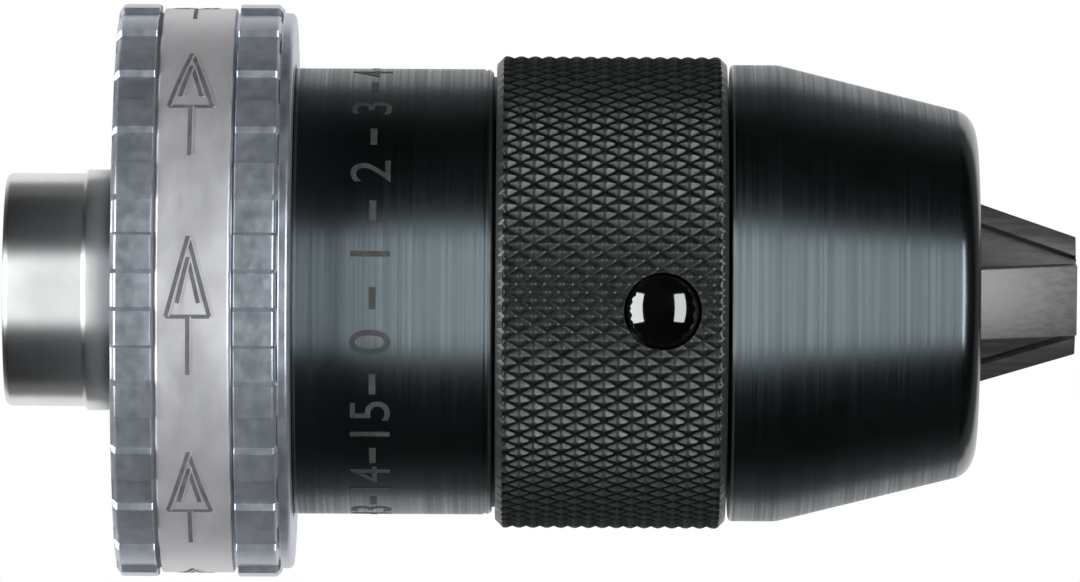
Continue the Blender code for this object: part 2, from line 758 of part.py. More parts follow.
def make_wave_spring(parts, material):
    middle = SPRING_REAR + SPRING_HEIGHT / 2
    half = SPRING_THICKNESS / 2
    outline = ring_outline(middle - half, middle + half, RACE_BORE_R + FIT, INNER_RING_R - FIT)
    spring = settle(turned("wave_spring", outline, parts), material)
    swing = SPRING_HEIGHT / 2 - half
    for vertex in spring.data.vertices:
        turn = math.atan2(vertex.co.z, vertex.co.y)
        vertex.co.x += swing * math.cos(SPRING_WAVES * turn)
    return spring


# Sleeves and studs

def lug_pocket(name, bearing, cutters):
    """A pocket for a lug. Its rear wall is a ramp, which lets the lug move back as the sleeve turns to lock."""
    inner_r = SLEEVE_BORE_R - JOIN
    rear, front = LUG_REAR - FIT, LUG_FRONT + FIT
    section = [(rear, inner_r), (rear, POCKET_R), (front, POCKET_R), (front, inner_r)]
    end = LUG_SLOT_HALF_ANGLE
    pocket = swept(name, section, bearing + end, -LOCK_ANGLE - 2 * end, 0, cutters, 4 * STEPS)
    for vertex in pocket.data.vertices:
        if vertex.co.x < LUG_REAR:
            here = math.degrees(math.atan2(vertex.co.z, -vertex.co.y))
            passed = (bearing - here + 180) % 360 - 180 + LUG_HALF_ANGLE
            vertex.co.x -= LOCK_TRAVEL * min(max(passed / LOCK_ANGLE, 0), 1)
    return pocket


def make_rear_sleeve(parts, cutters, material):
    lap_r = SLEEVE_BORE_R + LAP_WALL
    sleeve = turned(
        "rear_sleeve",
        [
            (SLEEVE_REAR, SLEEVE_FLANGE_R),
            (SLEEVE_REAR, SLEEVE_R - EDGE),
            (SLEEVE_REAR + EDGE, SLEEVE_R),
            (SEAM - EDGE, SLEEVE_R),
            (SEAM, SLEEVE_R - EDGE),
            (SEAM, lap_r),
            (LAP_FRONT, lap_r),
            (LAP_FRONT, SLEEVE_BORE_R),
            (SLEEVE_REAR + SLEEVE_FLANGE, SLEEVE_BORE_R),
            (SLEEVE_REAR + SLEEVE_FLANGE, SLEEVE_FLANGE_R),
        ],
        parts,
    )
    for number, bearing in enumerate(spread(LUG_BEARING, LUG_COUNT), 1):
        half = LUG_HALF_ANGLE + LUG_GAP_ANGLE / 2
        entry = (
            (LUG_REAR, LAP_FRONT + PROBE),
            (SLEEVE_BORE_R - 2 * JOIN, max(POCKET_R, lap_r) + JOIN / 5),
            (bearing - half, bearing + half),
        )
        cut(sleeve, lug_pocket(f"lug_pocket_{number}", bearing, cutters))
        cut(sleeve, sectors(f"lug_entry_{number}", [entry], cutters))
    return settle(sleeve, material)


def make_knurled_sleeve(parts, cutters, material):
    rear, front = SEAM + FIT, NOSE_SHOULDER - FIT
    lap_r = SLEEVE_BORE_R + LAP_WALL + FIT
    sleeve = turned(
        "knurled_sleeve",
        [
            (rear, lap_r),
            (rear, KNURL_R - KNURL_BEVEL),
            (rear + KNURL_BEVEL, KNURL_R),
            (front - KNURL_BEVEL, KNURL_R),
            (front, KNURL_R - KNURL_BEVEL),
            (front, SLEEVE_BORE_R),
            (LAP_FRONT + FIT, SLEEVE_BORE_R),
            (LAP_FRONT + FIT, lap_r),
        ],
        parts,
    )
    for name, bearing in zip(numbered("stud_hole", STUD_COUNT), spread(STUD_BEARING, STUD_COUNT)):
        hole = prism(name, STUD_R + FIT, SMALL_STEPS, SPIGOT_R - PROBE, KNURL_R + PROBE, cutters)
        hole.matrix_world = stud_place(bearing)
        cut(sleeve, hole)
    return settle(sleeve, material)


def stud_place(bearing):
    """Stands a shape that was made along X on the chuck's axis at the studs, pointing out at the bearing."""
    return Matrix.Translation((STUD_X, 0, 0)) @ facing(bearing) @ Matrix.Rotation(math.pi / 2, 4, "Z")


def stud_dome(steps=4):
    """The stud's domed top, from its rim to its centre."""
    top = KNURL_R + STUD_PROUD
    reach = math.asin(STUD_R / STUD_DOME_R)
    for index in range(steps + 1):
        turn = reach * (1 - index / steps)
        yield top - STUD_DOME_R * (1 - math.cos(turn)), STUD_DOME_R * math.sin(turn)


def make_stop_studs(parts, material):
    foot = SPIGOT_R - STUD_DEPTH
    names = numbered("stop_stud", STUD_COUNT)
    outline = [(foot, 0), (foot, STUD_R), *stud_dome()]
    stud = settle(turned(names[0], outline, parts, SMALL_STEPS), material)
    return copies(stud, names, [stud_place(bearing) for bearing in spread(STUD_BEARING, STUD_COUNT)])


# Spindle and jaws

def make_adjusting_spindle(parts, cutters, material):
    lead_in = math.floor((HEAD_REAR - THREAD_START) / LEAD) - THREAD_TURNS - 1
    ridge_start = THREAD_START + LEAD * lead_in
    rear = ridge_start - SHANK_BEHIND_THREAD
    spindle = turned(
        "adjusting_spindle",
        [
            (rear, SPINDLE_BORE_R),
            (rear, THREAD_ROOT_R - EDGE),
            (rear + EDGE, THREAD_ROOT_R),
            (HEAD_REAR, THREAD_ROOT_R),
            (HEAD_REAR, HEAD_R - EDGE),
            (HEAD_REAR + EDGE, HEAD_R),
            (HEAD_FRONT - EDGE, HEAD_R),
            (HEAD_FRONT, HEAD_R - EDGE),
            (HEAD_FRONT, SPINDLE_BORE_R),
        ],
        parts,
    )
    ridge = thread_section(ridge_start, 0, THREAD_ROOT_R - JOIN, THREAD_CREST_R)
    turn, rise = 360 * THREAD_TURNS, LEAD * THREAD_TURNS
    thread = swept("spindle_thread", ridge, THREAD_BEARING, turn, rise, cutters, THREAD_STEPS)
    join(spindle, thread)
    slot_floor = SPINDLE_BORE_R - JOIN
    slot_top = HEAD_R + PROBE
    tail_slot = [
        (SLOT_REAR, slot_floor),
        (SLOT_REAR, slot_top),
        (SLOT_FRONT, slot_top),
        (SLOT_FRONT, slot_floor),
    ]
    neck_floor = slot_floor - JOIN / 2
    neck_slot = [
        (SLOT_FRONT - JOIN, neck_floor),
        (SLOT_FRONT - JOIN, slot_top),
        (HEAD_FRONT + PROBE, slot_top),
        (HEAD_FRONT + PROBE, neck_floor),
    ]
    slots = (("tail_slot", tail_slot, JAW_WIDTH), ("neck_slot", neck_slot, JAW_WEB_WIDTH))
    for number, bearing in enumerate(spread(JAW_BEARING, JAW_COUNT), 1):
        for name, outline, width in slots:
            slot = plate(f"{name}_{number}", outline, width + 2 * FIT, cutters)
            slot.matrix_world = facing(bearing)
            cut(spindle, slot)
    return settle(spindle, material)


def make_jaws(parts, cutters, material):
    names = numbered("jaw", JAW_COUNT)
    grip_start = JAW_TIP - JAW_GRIP_LENGTH
    web_offset = -JAW_RIB / 2
    cap_end = JAW_TIP - (JAW_CAP_R - back_line(JAW_TIP, web_offset)) / JAW_SLOPE
    rib_start = JAW_TIP - (JAW_CAP_R - JAW_TIP_R) / JAW_SLOPE
    web = [
        (TAIL_REAR, JAW_RELIEF_R),
        (grip_start - JAW_RELIEF_R / 3, JAW_RELIEF_R),
        (grip_start, JAW_GRIP_EDGE_R),
        (JAW_TIP, JAW_GRIP_EDGE_R),
        (JAW_TIP, back_line(JAW_TIP, web_offset)),
        (cap_end, JAW_CAP_R),
        (CAVITY_END, JAW_CAP_R),
        (CAVITY_END, TAIL_TOP_R),
        (TAIL_REAR, TAIL_TOP_R),
    ]
    tail = [
        (TAIL_REAR, JAW_RELIEF_R),
        (TAIL_REAR, TAIL_TOP_R),
        (TAIL_FRONT, TAIL_TOP_R),
        (TAIL_FRONT, JAW_RELIEF_R),
    ]
    jaw = plate(names[0], web, JAW_WEB_WIDTH, parts)
    join(jaw, plate("jaw_rib", sloping_outline(rib_start, JAW_TIP, -JAW_RIB, 0), JAW_WIDTH, cutters))
    join(jaw, plate("jaw_tail", tail, JAW_WIDTH, cutters))
    for side in (1, -1):
        span = JAW_WIDTH
        face = box(
            f"jaw_face_{side + 2}",
            (TAIL_REAR - PROBE, -span, -JAW_FACE_GAP),
            (JAW_TIP + PROBE, 2 * span, span),
            cutters,
        )
        face.matrix_world = Matrix.Scale(side, 4, (0, 0, 1)) @ Matrix.Rotation(math.radians(60), 4, "X")
        cut(jaw, face)
    settle(jaw, material)
    return copies(jaw, names, [facing(bearing) for bearing in spread(JAW_BEARING, JAW_COUNT)])


# Assembly

def body_frame(name, pieces, parent, collection):
    """An empty on the chuck's axis that carries the pieces that move together."""
    frame = bpy.data.objects.new(name + "_frame", None)
    frame.empty_display_size = HUB_R
    collection.objects.link(frame)
    frame.parent = parent
    for piece in pieces:
        piece.parent = frame
    return frame


def main():
    clear_scene()
    parts = new_collection("drill_chuck")
    cutters = new_collection("drill_chuck_cutters")

    polished = new_material("polished_steel", (0.62, 0.63, 0.64), 1.0, 0.22)
    grey = new_material("grey_ring", (0.42, 0.43, 0.45), 0.0, 0.45)
    clip_steel = new_material("clip_steel", (0.25, 0.26, 0.28), 1.0, 0.35)
    felt = new_material("felt", (0.16, 0.15, 0.14), 0.0, 0.95)
    bearing_steel = new_material("bearing_steel", (0.66, 0.66, 0.67), 1.0, 0.15)
    brass = new_material("brass", (0.72, 0.52, 0.22), 1.0, 0.3)
    hard_steel = new_material("hardened_steel", (0.36, 0.36, 0.37), 1.0, 0.38)
    black = new_material("blackened_steel", (0.02, 0.021, 0.023), 0.6, 0.3)
    black_knurl = new_material("blackened_knurl", (0.016, 0.016, 0.017), 0.5, 0.42)
    stud_black = new_material("gloss_black", (0.006, 0.006, 0.007), 0.0, 0.12)
    jaw_steel = new_material("ground_steel", (0.34, 0.34, 0.35), 1.0, 0.33)

    fixed = [
        make_chuck_body(parts, cutters, polished),
        make_grip_ring(parts, cutters, grey),
        make_split_ring(
            "ring_clip",
            CLIP_REAR,
            CLIP_THICKNESS,
            (CLIP_GROOVE_R + FIT, CLIP_GROOVE_R + FIT + CLIP_WIDTH),
            CLIP_OPENING,
            parts,
            cutters,
            clip_steel,
        ),
        make_felt_seal(parts, felt),
        make_race("front_race", FRONT_RACE, parts, bearing_steel),
    ]
    bearing = [make_ball_cage(parts, cutters, brass), *make_balls(parts, bearing_steel)]
    spring_clip_r = SPIGOT_BORE_R + SPRING_CLIP_GROOVE - FIT
    turning = [
        make_nose(parts, cutters, black),
        make_thrust_nut(parts, cutters, hard_steel),
        make_race("rear_race", REAR_RACE, parts, bearing_steel),
        make_split_ring(
            "spring_clip",
            SPRING_CLIP_REAR,
            SPRING_CLIP_THICKNESS,
            (spring_clip_r - SPRING_CLIP_WIDTH, spring_clip_r),
            SPRING_CLIP_OPENING,
            parts,
            cutters,
            clip_steel,
        ),
        make_wave_spring(parts, clip_steel),
    ]
    lock = [make_lock_ring(parts, cutters, hard_steel)]
    sleeve = [
        make_rear_sleeve(parts, cutters, black),
        make_knurled_sleeve(parts, cutters, black_knurl),
        *make_stop_studs(parts, stud_black),
    ]
    spindle = [make_adjusting_spindle(parts, cutters, hard_steel)]
    jaws = make_jaws(parts, cutters, jaw_steel)

    root = body_frame("root", fixed, None, parts)
    body_frame("ball_cage", bearing, root, parts)
    nose = body_frame("nose", turning, root, parts)
    body_frame("lock_ring", lock, nose, parts)
    body_frame("outer_sleeve", sleeve, nose, parts)
    body_frame("spindle", spindle, nose, parts)
    for jaw in jaws:
        body_frame(jaw.name, [jaw], nose, parts)


main()
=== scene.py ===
# %% [markdown]
# # A keyless drill chuck
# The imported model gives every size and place. It holds a hub and a grey hand ring that stay
# still, two black sleeves and a nose that turn, and three jaws that slide. This lesson gives
# each visible piece a fine surface: real knurling, real pads, real threads. Pieces that stay
# inside keep their plain solids and get a worked material.

# %% Load the frame
import math

import bmesh
import bpy
import numpy as np
from mathutils import Matrix, Vector


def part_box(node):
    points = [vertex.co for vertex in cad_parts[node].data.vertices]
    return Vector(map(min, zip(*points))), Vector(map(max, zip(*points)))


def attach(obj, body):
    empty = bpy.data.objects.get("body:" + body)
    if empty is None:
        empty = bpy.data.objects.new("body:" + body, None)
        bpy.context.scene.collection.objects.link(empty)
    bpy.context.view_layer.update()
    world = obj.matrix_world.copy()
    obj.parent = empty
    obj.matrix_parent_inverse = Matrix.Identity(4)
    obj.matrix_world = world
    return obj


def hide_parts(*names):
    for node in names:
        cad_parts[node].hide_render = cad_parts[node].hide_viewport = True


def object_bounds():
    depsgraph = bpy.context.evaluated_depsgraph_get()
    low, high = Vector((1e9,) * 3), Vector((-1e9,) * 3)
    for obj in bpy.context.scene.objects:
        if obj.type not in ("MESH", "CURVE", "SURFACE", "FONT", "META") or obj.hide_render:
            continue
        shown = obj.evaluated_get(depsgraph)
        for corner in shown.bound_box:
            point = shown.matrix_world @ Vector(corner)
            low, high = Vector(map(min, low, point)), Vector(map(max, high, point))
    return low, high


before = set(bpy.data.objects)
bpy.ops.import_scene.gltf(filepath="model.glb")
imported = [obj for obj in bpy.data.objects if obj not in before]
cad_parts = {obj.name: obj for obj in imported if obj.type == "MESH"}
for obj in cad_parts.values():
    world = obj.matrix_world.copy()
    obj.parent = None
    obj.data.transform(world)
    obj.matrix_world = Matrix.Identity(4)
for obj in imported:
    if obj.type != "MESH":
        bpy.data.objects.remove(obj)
cad_low, cad_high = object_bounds()
MM = 0.001

# %% [markdown]
# ## Where things are
# The chuck's axis is X. A bearing is an angle round that axis: 0 faces the viewer (-Y) and 90 is
# up. Each piece takes its ends along X from the box of the solid that it stands for, so the
# pieces meet as the solids do. A box is no good for a radius, because the solid's circle has
# flat facets and is a little narrow, so radii are given in millimetres.

# %% Places from the frame
def ends(node):
    """Where a solid starts and stops along the axis, in mm."""
    low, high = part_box(node)
    return low[0] / MM, high[0] / MM


RING_REAR, RING_FRONT = ends("grip_ring")
SLEEVE_REAR, LAP_FRONT = ends("rear_sleeve")
KNURL_REAR, KNURL_FRONT = ends("knurled_sleeve")
SPIGOT_REAR, NOSE_FRONT = ends("nose")
JAW_TAIL, JAW_TIP = ends("jaw_1")
JAW_BEARINGS = (-7, 113, 233)
STUD_BEARINGS = (-4.6, 115.4, 235.4)
STUD_X = sum(ends("stop_stud_1")) / 2
KNURL_GAP = 0.3
SHOULDER = KNURL_FRONT + KNURL_GAP
SLEEVE_R, KNURL_R, NOSE_R, BAND_R, PAD_R = 20.3, 21.5, 20.8, 25.7, 26.1
print(f"ring {RING_REAR:.1f} to {RING_FRONT:.1f} mm")
print(f"knurl {KNURL_REAR:.1f} to {KNURL_FRONT:.1f} mm, nose to {NOSE_FRONT:.1f} mm")


# %% [markdown]
# ## One tool for turned pieces
# A lathe turns a profile round the axis. Blender's Screw modifier does the same, but it can't
# vary the radius with the angle, and a knurl or a row of pads needs just that. So the mesh is a
# grid: one row for each angle, one column for each point of the profile, and a `shape` function
# may move any point in or out.

# %% The lathe
def lathe(name, profile, angles, shape=None):
    """A closed profile of (x, radius) points in mm, carried round the axis through the angles."""
    profile = np.array(profile, float)
    (x, r), (next_x, next_r) = profile.T, np.roll(profile, -1, axis=0).T
    if np.sum(x * next_r - next_x * r) > 0:  # the faces would look inwards
        profile = profile[::-1]
    angles = np.array(angles, float)
    x = np.broadcast_to(profile[:, 0], (len(angles), len(profile)))
    r = np.broadcast_to(profile[:, 1], x.shape)
    turn = np.broadcast_to(np.radians(angles)[:, None], x.shape)
    if shape:
        r = r + shape(x, r, turn)
    points = np.stack([x, -r * np.cos(turn), r * np.sin(turn)], axis=-1).reshape(-1, 3) * MM
    rows, columns = x.shape
    index = np.arange(rows * columns).reshape(rows, columns)
    right, up = np.roll(index, -1, axis=1), np.roll(index, -1, axis=0)
    across = np.roll(right, -1, axis=0)
    faces = np.stack([index, right, across, up], axis=-1).reshape(-1, 4)
    mesh = bpy.data.meshes.new(name)
    mesh.from_pydata(points.tolist(), [], faces.tolist())
    mesh.update()
    return shown(name, mesh)


def shown(name, mesh):
    obj = bpy.data.objects.new(name, mesh)
    bpy.context.scene.collection.objects.link(obj)
    smooth(obj)
    return obj


def smooth(obj, sharp=32):
    """Smooth shading, with a crisp line wherever two faces meet at more than the sharp angle."""
    obj.data.shade_smooth()
    obj.data.set_sharp_from_angle(angle=math.radians(sharp))


def even(count):
    """Angles at an even pitch, one for each row of the grid."""
    return np.arange(count) * 360 / count


print("lathe ready")

# %% [markdown]
# Sharp corners look false, because every real edge catches a line of light. This helper swaps
# each corner of a profile for a short curve. A Bevel modifier could do it too, but here it costs
# only a few points.

# %% Soft corners for a profile
MOST_OF_A_SIDE = 0.4


def eased(profile, radius=0.25, steps=3):
    """The profile with a curve at each corner, which takes up to radius mm of each side."""
    made = []
    count = len(profile)
    for index in range(count):
        here = np.array(profile[index], float)
        near = []
        for other in (profile[index - 1], profile[(index + 1) % count]):
            side = np.array(other, float) - here
            length = np.linalg.norm(side)
            near.append(here + side * min(radius, MOST_OF_A_SIDE * length) / length)
        for t in np.arange(steps + 1) / steps:
            made.append((1 - t) ** 2 * near[0] + 2 * t * (1 - t) * here + t**2 * near[1])
    return made


print("a square corner becomes", len(eased([(0, 0), (1, 0), (1, 1)])) // 3, "points")

# %% [markdown]
# ## Metals that were turned on a lathe
# A turning tool leaves fine rings round a piece. They catch light as thin streaks, and they
# stretch each highlight along the axis, so a cylinder shows one long band with crisp edges.
# Noise that changes quickly along X and slowly round the piece draws the rings. It drives the
# roughness and a slight bump. The stretch is the shader's own anisotropy: the radial tangent
# runs round the axis, and a quarter turn lays it along X.

# %% Material helpers
def new_material(name, colour, metallic, roughness, **settings):
    """A Principled material. Further sockets go by name, with _ for a space."""
    made = bpy.data.materials.new(name)
    made.use_nodes = True
    shader = made.node_tree.nodes["Principled BSDF"]
    shader.inputs["Base Color"].default_value = (*colour, 1)
    shader.inputs["Metallic"].default_value = metallic
    shader.inputs["Roughness"].default_value = roughness
    for socket, value in settings.items():
        shader.inputs[socket.replace("_", " ")].default_value = value
    return made, made.node_tree, shader


def noise(tree, scale, detail):
    """Noise on the object's own coordinates, in repeats to the metre along X, Y and Z."""
    place = tree.nodes.new("ShaderNodeTexCoord")
    stretch = tree.nodes.new("ShaderNodeMapping")
    stretch.inputs["Scale"].default_value = scale
    texture = tree.nodes.new("ShaderNodeTexNoise")
    texture.inputs["Scale"].default_value = 1.0
    texture.inputs["Detail"].default_value = detail
    texture.inputs["Roughness"].default_value = 0.6
    tree.links.new(place.outputs["Object"], stretch.inputs["Vector"])
    tree.links.new(stretch.outputs["Vector"], texture.inputs["Vector"])
    return texture.outputs["Fac"]


def spread_to(tree, value, low, high, start=0.3, end=0.7):
    """Maps a value from start-end to low-high."""
    ranger = tree.nodes.new("ShaderNodeMapRange")
    numbers = {"From Min": start, "From Max": end, "To Min": low, "To Max": high}
    for socket, number in numbers.items():
        ranger.inputs[socket].default_value = number
    tree.links.new(value, ranger.inputs["Value"])
    return ranger.outputs["Result"]


def two_tones(tree, value, first, second, start=0.35, end=0.65):
    """A colour that runs from the first to the second as the value goes from start to end."""
    ramp = tree.nodes.new("ShaderNodeValToRGB")
    for stop, place, colour in zip(ramp.color_ramp.elements, (start, end), (first, second)):
        stop.position = place
        stop.color = (*colour, 1)
    tree.links.new(value, ramp.inputs["Fac"])
    return ramp.outputs["Color"]


def bumped(tree, shader, value, depth, strength):
    """Tilts the light on the surface by the value, as if it stood depth metres proud."""
    bump = tree.nodes.new("ShaderNodeBump")
    bump.inputs["Strength"].default_value = strength
    bump.inputs["Distance"].default_value = depth
    tree.links.new(value, bump.inputs["Height"])
    tree.links.new(bump.outputs["Normal"], shader.inputs["Normal"])


print("material helpers ready")


# %% The turned finish
QUARTER_TURN = 0.25


def turned_metal(
    name, tones, metallic, rough, rings=5200, depth=2e-6, pull=0.95, strength=0.5, **settings
):
    """Metal with turning rings. tones and rough are pairs, between which the rings vary."""
    middle = [sum(pair) / 2 for pair in zip(*tones)]
    made, tree, shader = new_material(
        name,
        middle,
        metallic,
        sum(rough) / 2,
        Anisotropic=pull,
        Anisotropic_Rotation=QUARTER_TURN,
        **settings,
    )
    fine = noise(tree, (rings, 14, 14), 4.0)
    cloud = noise(tree, (160,) * 3, 3.0)
    tree.links.new(spread_to(tree, fine, *rough), shader.inputs["Roughness"])
    tree.links.new(two_tones(tree, cloud, *tones), shader.inputs["Base Color"])
    bumped(tree, shader, fine, depth, strength)
    tangent = tree.nodes.new("ShaderNodeTangent")
    tangent.direction_type = "RADIAL"
    tangent.axis = "X"
    tree.links.new(tangent.outputs["Tangent"], shader.inputs["Tangent"])
    return made


hub_steel = turned_metal(
    "hub_steel",
    ((0.70, 0.70, 0.69), (0.79, 0.79, 0.78)),
    1.0,
    (0.36, 0.44),
    depth=8e-7,
    strength=0.3,
)
BLACK_TONES = ((0.0015, 0.0018, 0.0018), (0.003, 0.0036, 0.0036))
black_oxide = turned_metal(
    "black_oxide",
    BLACK_TONES,
    0.0,
    (0.4, 0.64),
    rings=4200,
    depth=5e-6,
    pull=1.0,
    IOR=2.5,
    Specular_Tint=(0.8, 0.94, 1.0, 1),
)
rolled_black = turned_metal(
    "rolled_black",
    BLACK_TONES,
    0.0,
    (0.18, 0.26),
    pull=0.5,
    IOR=2.0,
    Specular_Tint=(0.85, 0.96, 1.0, 1),
)
# Paler metal for thin bands at edges: a painted highlight, for the bright line that a rounded edge
# catches.
painted_edge_highlight = turned_metal(
    "painted_edge_highlight", ((0.10, 0.115, 0.12), (0.14, 0.155, 0.16)), 0.8, (0.3, 0.45), IOR=2.3
)
print("made", hub_steel.name, "and", black_oxide.name)

# %% [markdown]
# The knurl wears the same black oxide, with no turning rings left on it. Its grooves are painted
# darker than its crests, by the mesh's pointiness: painted shade in the grooves. The hand ring is
# a satin grey moulding with a faint speckle. The stud is plain gloss black. The jaws are ground
# tool steel, with marks that run along them.

# %% The other finishes
FLAT_POINT, CREST_POINT = 0.47, 0.54


def crest_metal(name, low, high, metallic, rough):
    """Tone from the mesh's pointiness: grooves are painted darker than crests, as painted shade.
    """
    made, tree, shader = new_material(name, high, metallic, rough, Specular_IOR_Level=0.7)
    point = tree.nodes.new("ShaderNodeNewGeometry").outputs["Pointiness"]
    # Painted shade: the grooves take the darker colour by the mesh's pointiness.
    tone = two_tones(tree, point, low, high, FLAT_POINT, CREST_POINT)
    tree.links.new(tone, shader.inputs["Base Color"])
    grain = noise(tree, (900,) * 3, 4.0)
    tree.links.new(spread_to(tree, grain, rough - 0.08, rough + 0.12), shader.inputs["Roughness"])
    bumped(tree, shader, grain, 8e-6, 0.4)
    return made


knurl_black = crest_metal("knurl_black", (0.001, 0.0012, 0.0012), (0.017, 0.021, 0.019), 0.0, 0.38)


def grained(name, tones, metallic, rough, scale, depth, strength=0.5, **settings):
    """A finish whose tone, roughness and bump follow one noise of scale repeats to the metre."""
    made, tree, shader = new_material(name, tones[0], metallic, sum(rough) / 2, **settings)
    grain = noise(tree, scale, 4.0)
    tree.links.new(two_tones(tree, grain, *tones), shader.inputs["Base Color"])
    tree.links.new(spread_to(tree, grain, *rough), shader.inputs["Roughness"])
    bumped(tree, shader, grain, depth, strength)
    return made


ring_grey = grained(
    "ring_grey",
    ((0.48, 0.515, 0.575), (0.58, 0.615, 0.67)),
    0.85,
    (0.3, 0.4),
    (900, 700, 700),
    6e-6,
)
band_grey = grained(
    "band_grey",
    ((0.70, 0.68, 0.70), (0.76, 0.74, 0.76)),
    0.72,
    (0.38, 0.46),
    (500, 260, 260),
    3e-6,
)
# A darker, duller grey: a cast finish, and painted shade that holds down the reflection on the
# ring's rear face and inner web.
cast_grey_and_shade = grained(
    "cast_grey_and_shade", ((0.27, 0.28, 0.30), (0.34, 0.35, 0.37)), 0.25, (0.55, 0.7), (700,) * 3, 2e-5
)
# The arrows' dark grey: painted shade of an engraved line's groove.
engraving_shade_grey = grained(
    "engraving_shade_grey", ((0.07, 0.07, 0.075), (0.11, 0.11, 0.115)), 0.0, (0.5, 0.7), (900,) * 3, 1e-5
)
stud_black = grained(
    "stud_black", ((0.001,) * 3, (0.002,) * 3), 0.0, (0.04, 0.08), (300,) * 3, 1e-6, 0.1, IOR=1.9
)
jaw_steel = grained(
    "jaw_steel",
    ((0.125, 0.122, 0.118), (0.18, 0.175, 0.17)),
    0.75,
    (0.38, 0.52),
    (260, 2600, 2600),
    4e-6,
)
size_marks = grained(
    "size_marks", ((0.03, 0.034, 0.034), (0.05, 0.055, 0.055)), 0.0, (0.5, 0.7), (900,) * 3, 1e-5
)
felt = grained(
    "felt_wool", ((0.08, 0.075, 0.07), (0.2, 0.19, 0.17)), 0.0, (0.9, 1.0), (2500,) * 3, 6e-5, 1.0
)
spring_blue = turned_metal(
    "spring_blue", ((0.12, 0.13, 0.16), (0.2, 0.21, 0.24)), 1.0, (0.25, 0.4)
)
race_steel = turned_metal(
    "race_steel", ((0.55, 0.55, 0.56), (0.66, 0.66, 0.67)), 1.0, (0.08, 0.16)
)
cage_brass = turned_metal(
    "cage_brass", ((0.6, 0.42, 0.16), (0.75, 0.55, 0.25)), 1.0, (0.22, 0.36)
)
inner_steel = turned_metal(
    "inner_steel", ((0.26, 0.26, 0.27), (0.38, 0.38, 0.39)), 1.0, (0.28, 0.42)
)
print("materials:", len(bpy.data.materials))


# %% [markdown]
# ## Joining and cutting
# Booleans give crisp holes and channels. The lathe's meshes are closed, so the quick MANIFOLD
# solver works, even on a knurl with a hundred thousand faces. The result is written into the
# mesh and the cutter goes.

# %% Boolean and plate helpers
def boolean(obj, other, operation="DIFFERENCE"):
    """Cuts the other object away, or joins it on, and removes it."""
    modifier = obj.modifiers.new("shape", "BOOLEAN")
    modifier.operation = operation
    modifier.solver = "MANIFOLD"
    modifier.object = other
    bake(obj)
    bpy.data.objects.remove(other)


def bake(obj):
    """Writes the modifiers' result into the mesh."""
    bpy.context.view_layer.update()
    graph = bpy.context.evaluated_depsgraph_get()
    mesh = bpy.data.meshes.new_from_object(obj.evaluated_get(graph))
    obj.modifiers.clear()
    obj.data = mesh


def facing(bearing):
    """Turns local Y to a bearing and leaves X alone."""
    return Matrix.Rotation(math.radians(180 - bearing), 4, "X")


def box_outline(rear, front, low, high):
    """The four corners of a rectangle in X and Y."""
    return [(rear, low), (front, low), (front, high), (rear, high)]


def plate(name, outline, width, bearing=None):
    """A flat plate in X and Y, width thick, stood up at a bearing."""
    bm = bmesh.new()
    corners = [bm.verts.new((x * MM, y * MM, -width * MM / 2)) for x, y in outline]
    face = bm.faces.new(corners)
    grown = bmesh.ops.extrude_face_region(bm, geom=[face])["geom"]
    lifted = [part for part in grown if isinstance(part, bmesh.types.BMVert)]
    bmesh.ops.translate(bm, vec=(0, 0, width * MM), verts=lifted)
    bm.normal_update()
    bmesh.ops.recalc_face_normals(bm, faces=bm.faces)
    if bearing is not None:
        bmesh.ops.transform(bm, matrix=facing(bearing), verts=bm.verts)
    mesh = bpy.data.meshes.new(name)
    bm.to_mesh(mesh)
    bm.free()
    return shown(name, mesh)


def finish_piece(obj, material, body, slot, *nodes):
    """Gives a piece its finish and the body it rides, and hides the solids that it stands for;
    slot is not used.
    """
    obj.data.materials.clear()
    obj.data.materials.append(material)
    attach(obj, body)
    if nodes:
        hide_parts(*nodes)
    print(obj.name, len(obj.data.polygons), "faces")


def paint_faces(obj, material, first, last, inner, outer=100):
    """A further finish for the faces between two planes and two radii, all in millimetres."""
    if material.name not in obj.data.materials:
        obj.data.materials.append(material)
    index = obj.data.materials.find(material.name)
    for face in obj.data.polygons:
        x, y, z = face.center / MM
        if first < x < last and inner < math.hypot(y, z) < outer:
            face.material_index = index


# %% [markdown]
# ## The chuck body
# From outside it is a short polished hub with a slightly larger seat. A machine's spindle screws
# into its socket, so the bore gets a true helical thread: the shape function lifts the bore's
# points by a triangle wave that climbs one pitch in each turn. Deeper in, the same part has a
# hexagon, a bearing collar and a screw thread. The imported solid has all of them already, so a
# copy of it is cut off behind the hub and joined on. The end face and the socket are faced steel,
# painted a tone darker than the polished outside: painted shade on the end face and in the socket.

# %% Chuck body
HUB_R, SEAT_R, HUB_END, NECK_END = 10.6, 10.97, 10.9, 11.1
SOCKET_R, THREAD_START, THREAD_END, SOCKET_PITCH, THREAD_HEIGHT = 5.75, 1.2, 10.1, 1.27, 0.6
hub_corners = [(0, 6.6), (0, 10.2), (0.4, HUB_R), (7.2, HUB_R), (7.45, SEAT_R), (HUB_END, SEAT_R)]
hub_outside = eased(hub_corners, 0.12)[4:-4]  # without the curves of the two end points
join_face = [(HUB_END, SEAT_R), (HUB_END, 10.15), (NECK_END, 10.15), (NECK_END, 6.1)]
bore = [(HUB_END - 0.1, 6.1), (HUB_END - 0.2, SOCKET_R + 0.02)]
bore += [(x, SOCKET_R) for x in np.arange(THREAD_END + 0.1, 0.9, -SOCKET_PITCH / 8)]
bore += [(0.85, SOCKET_R), (0.1, 6.5)]


def socket_thread(x, r, turn):
    """Widens the bore along a helix."""
    wave = np.abs((x / SOCKET_PITCH - turn / (2 * math.pi)) % 1 - 0.5) * 2
    inside = (r < SOCKET_R + 0.01) & (x > THREAD_START) & (x < THREAD_END)
    return np.where(inside, wave * THREAD_HEIGHT, 0)


FAR = 40


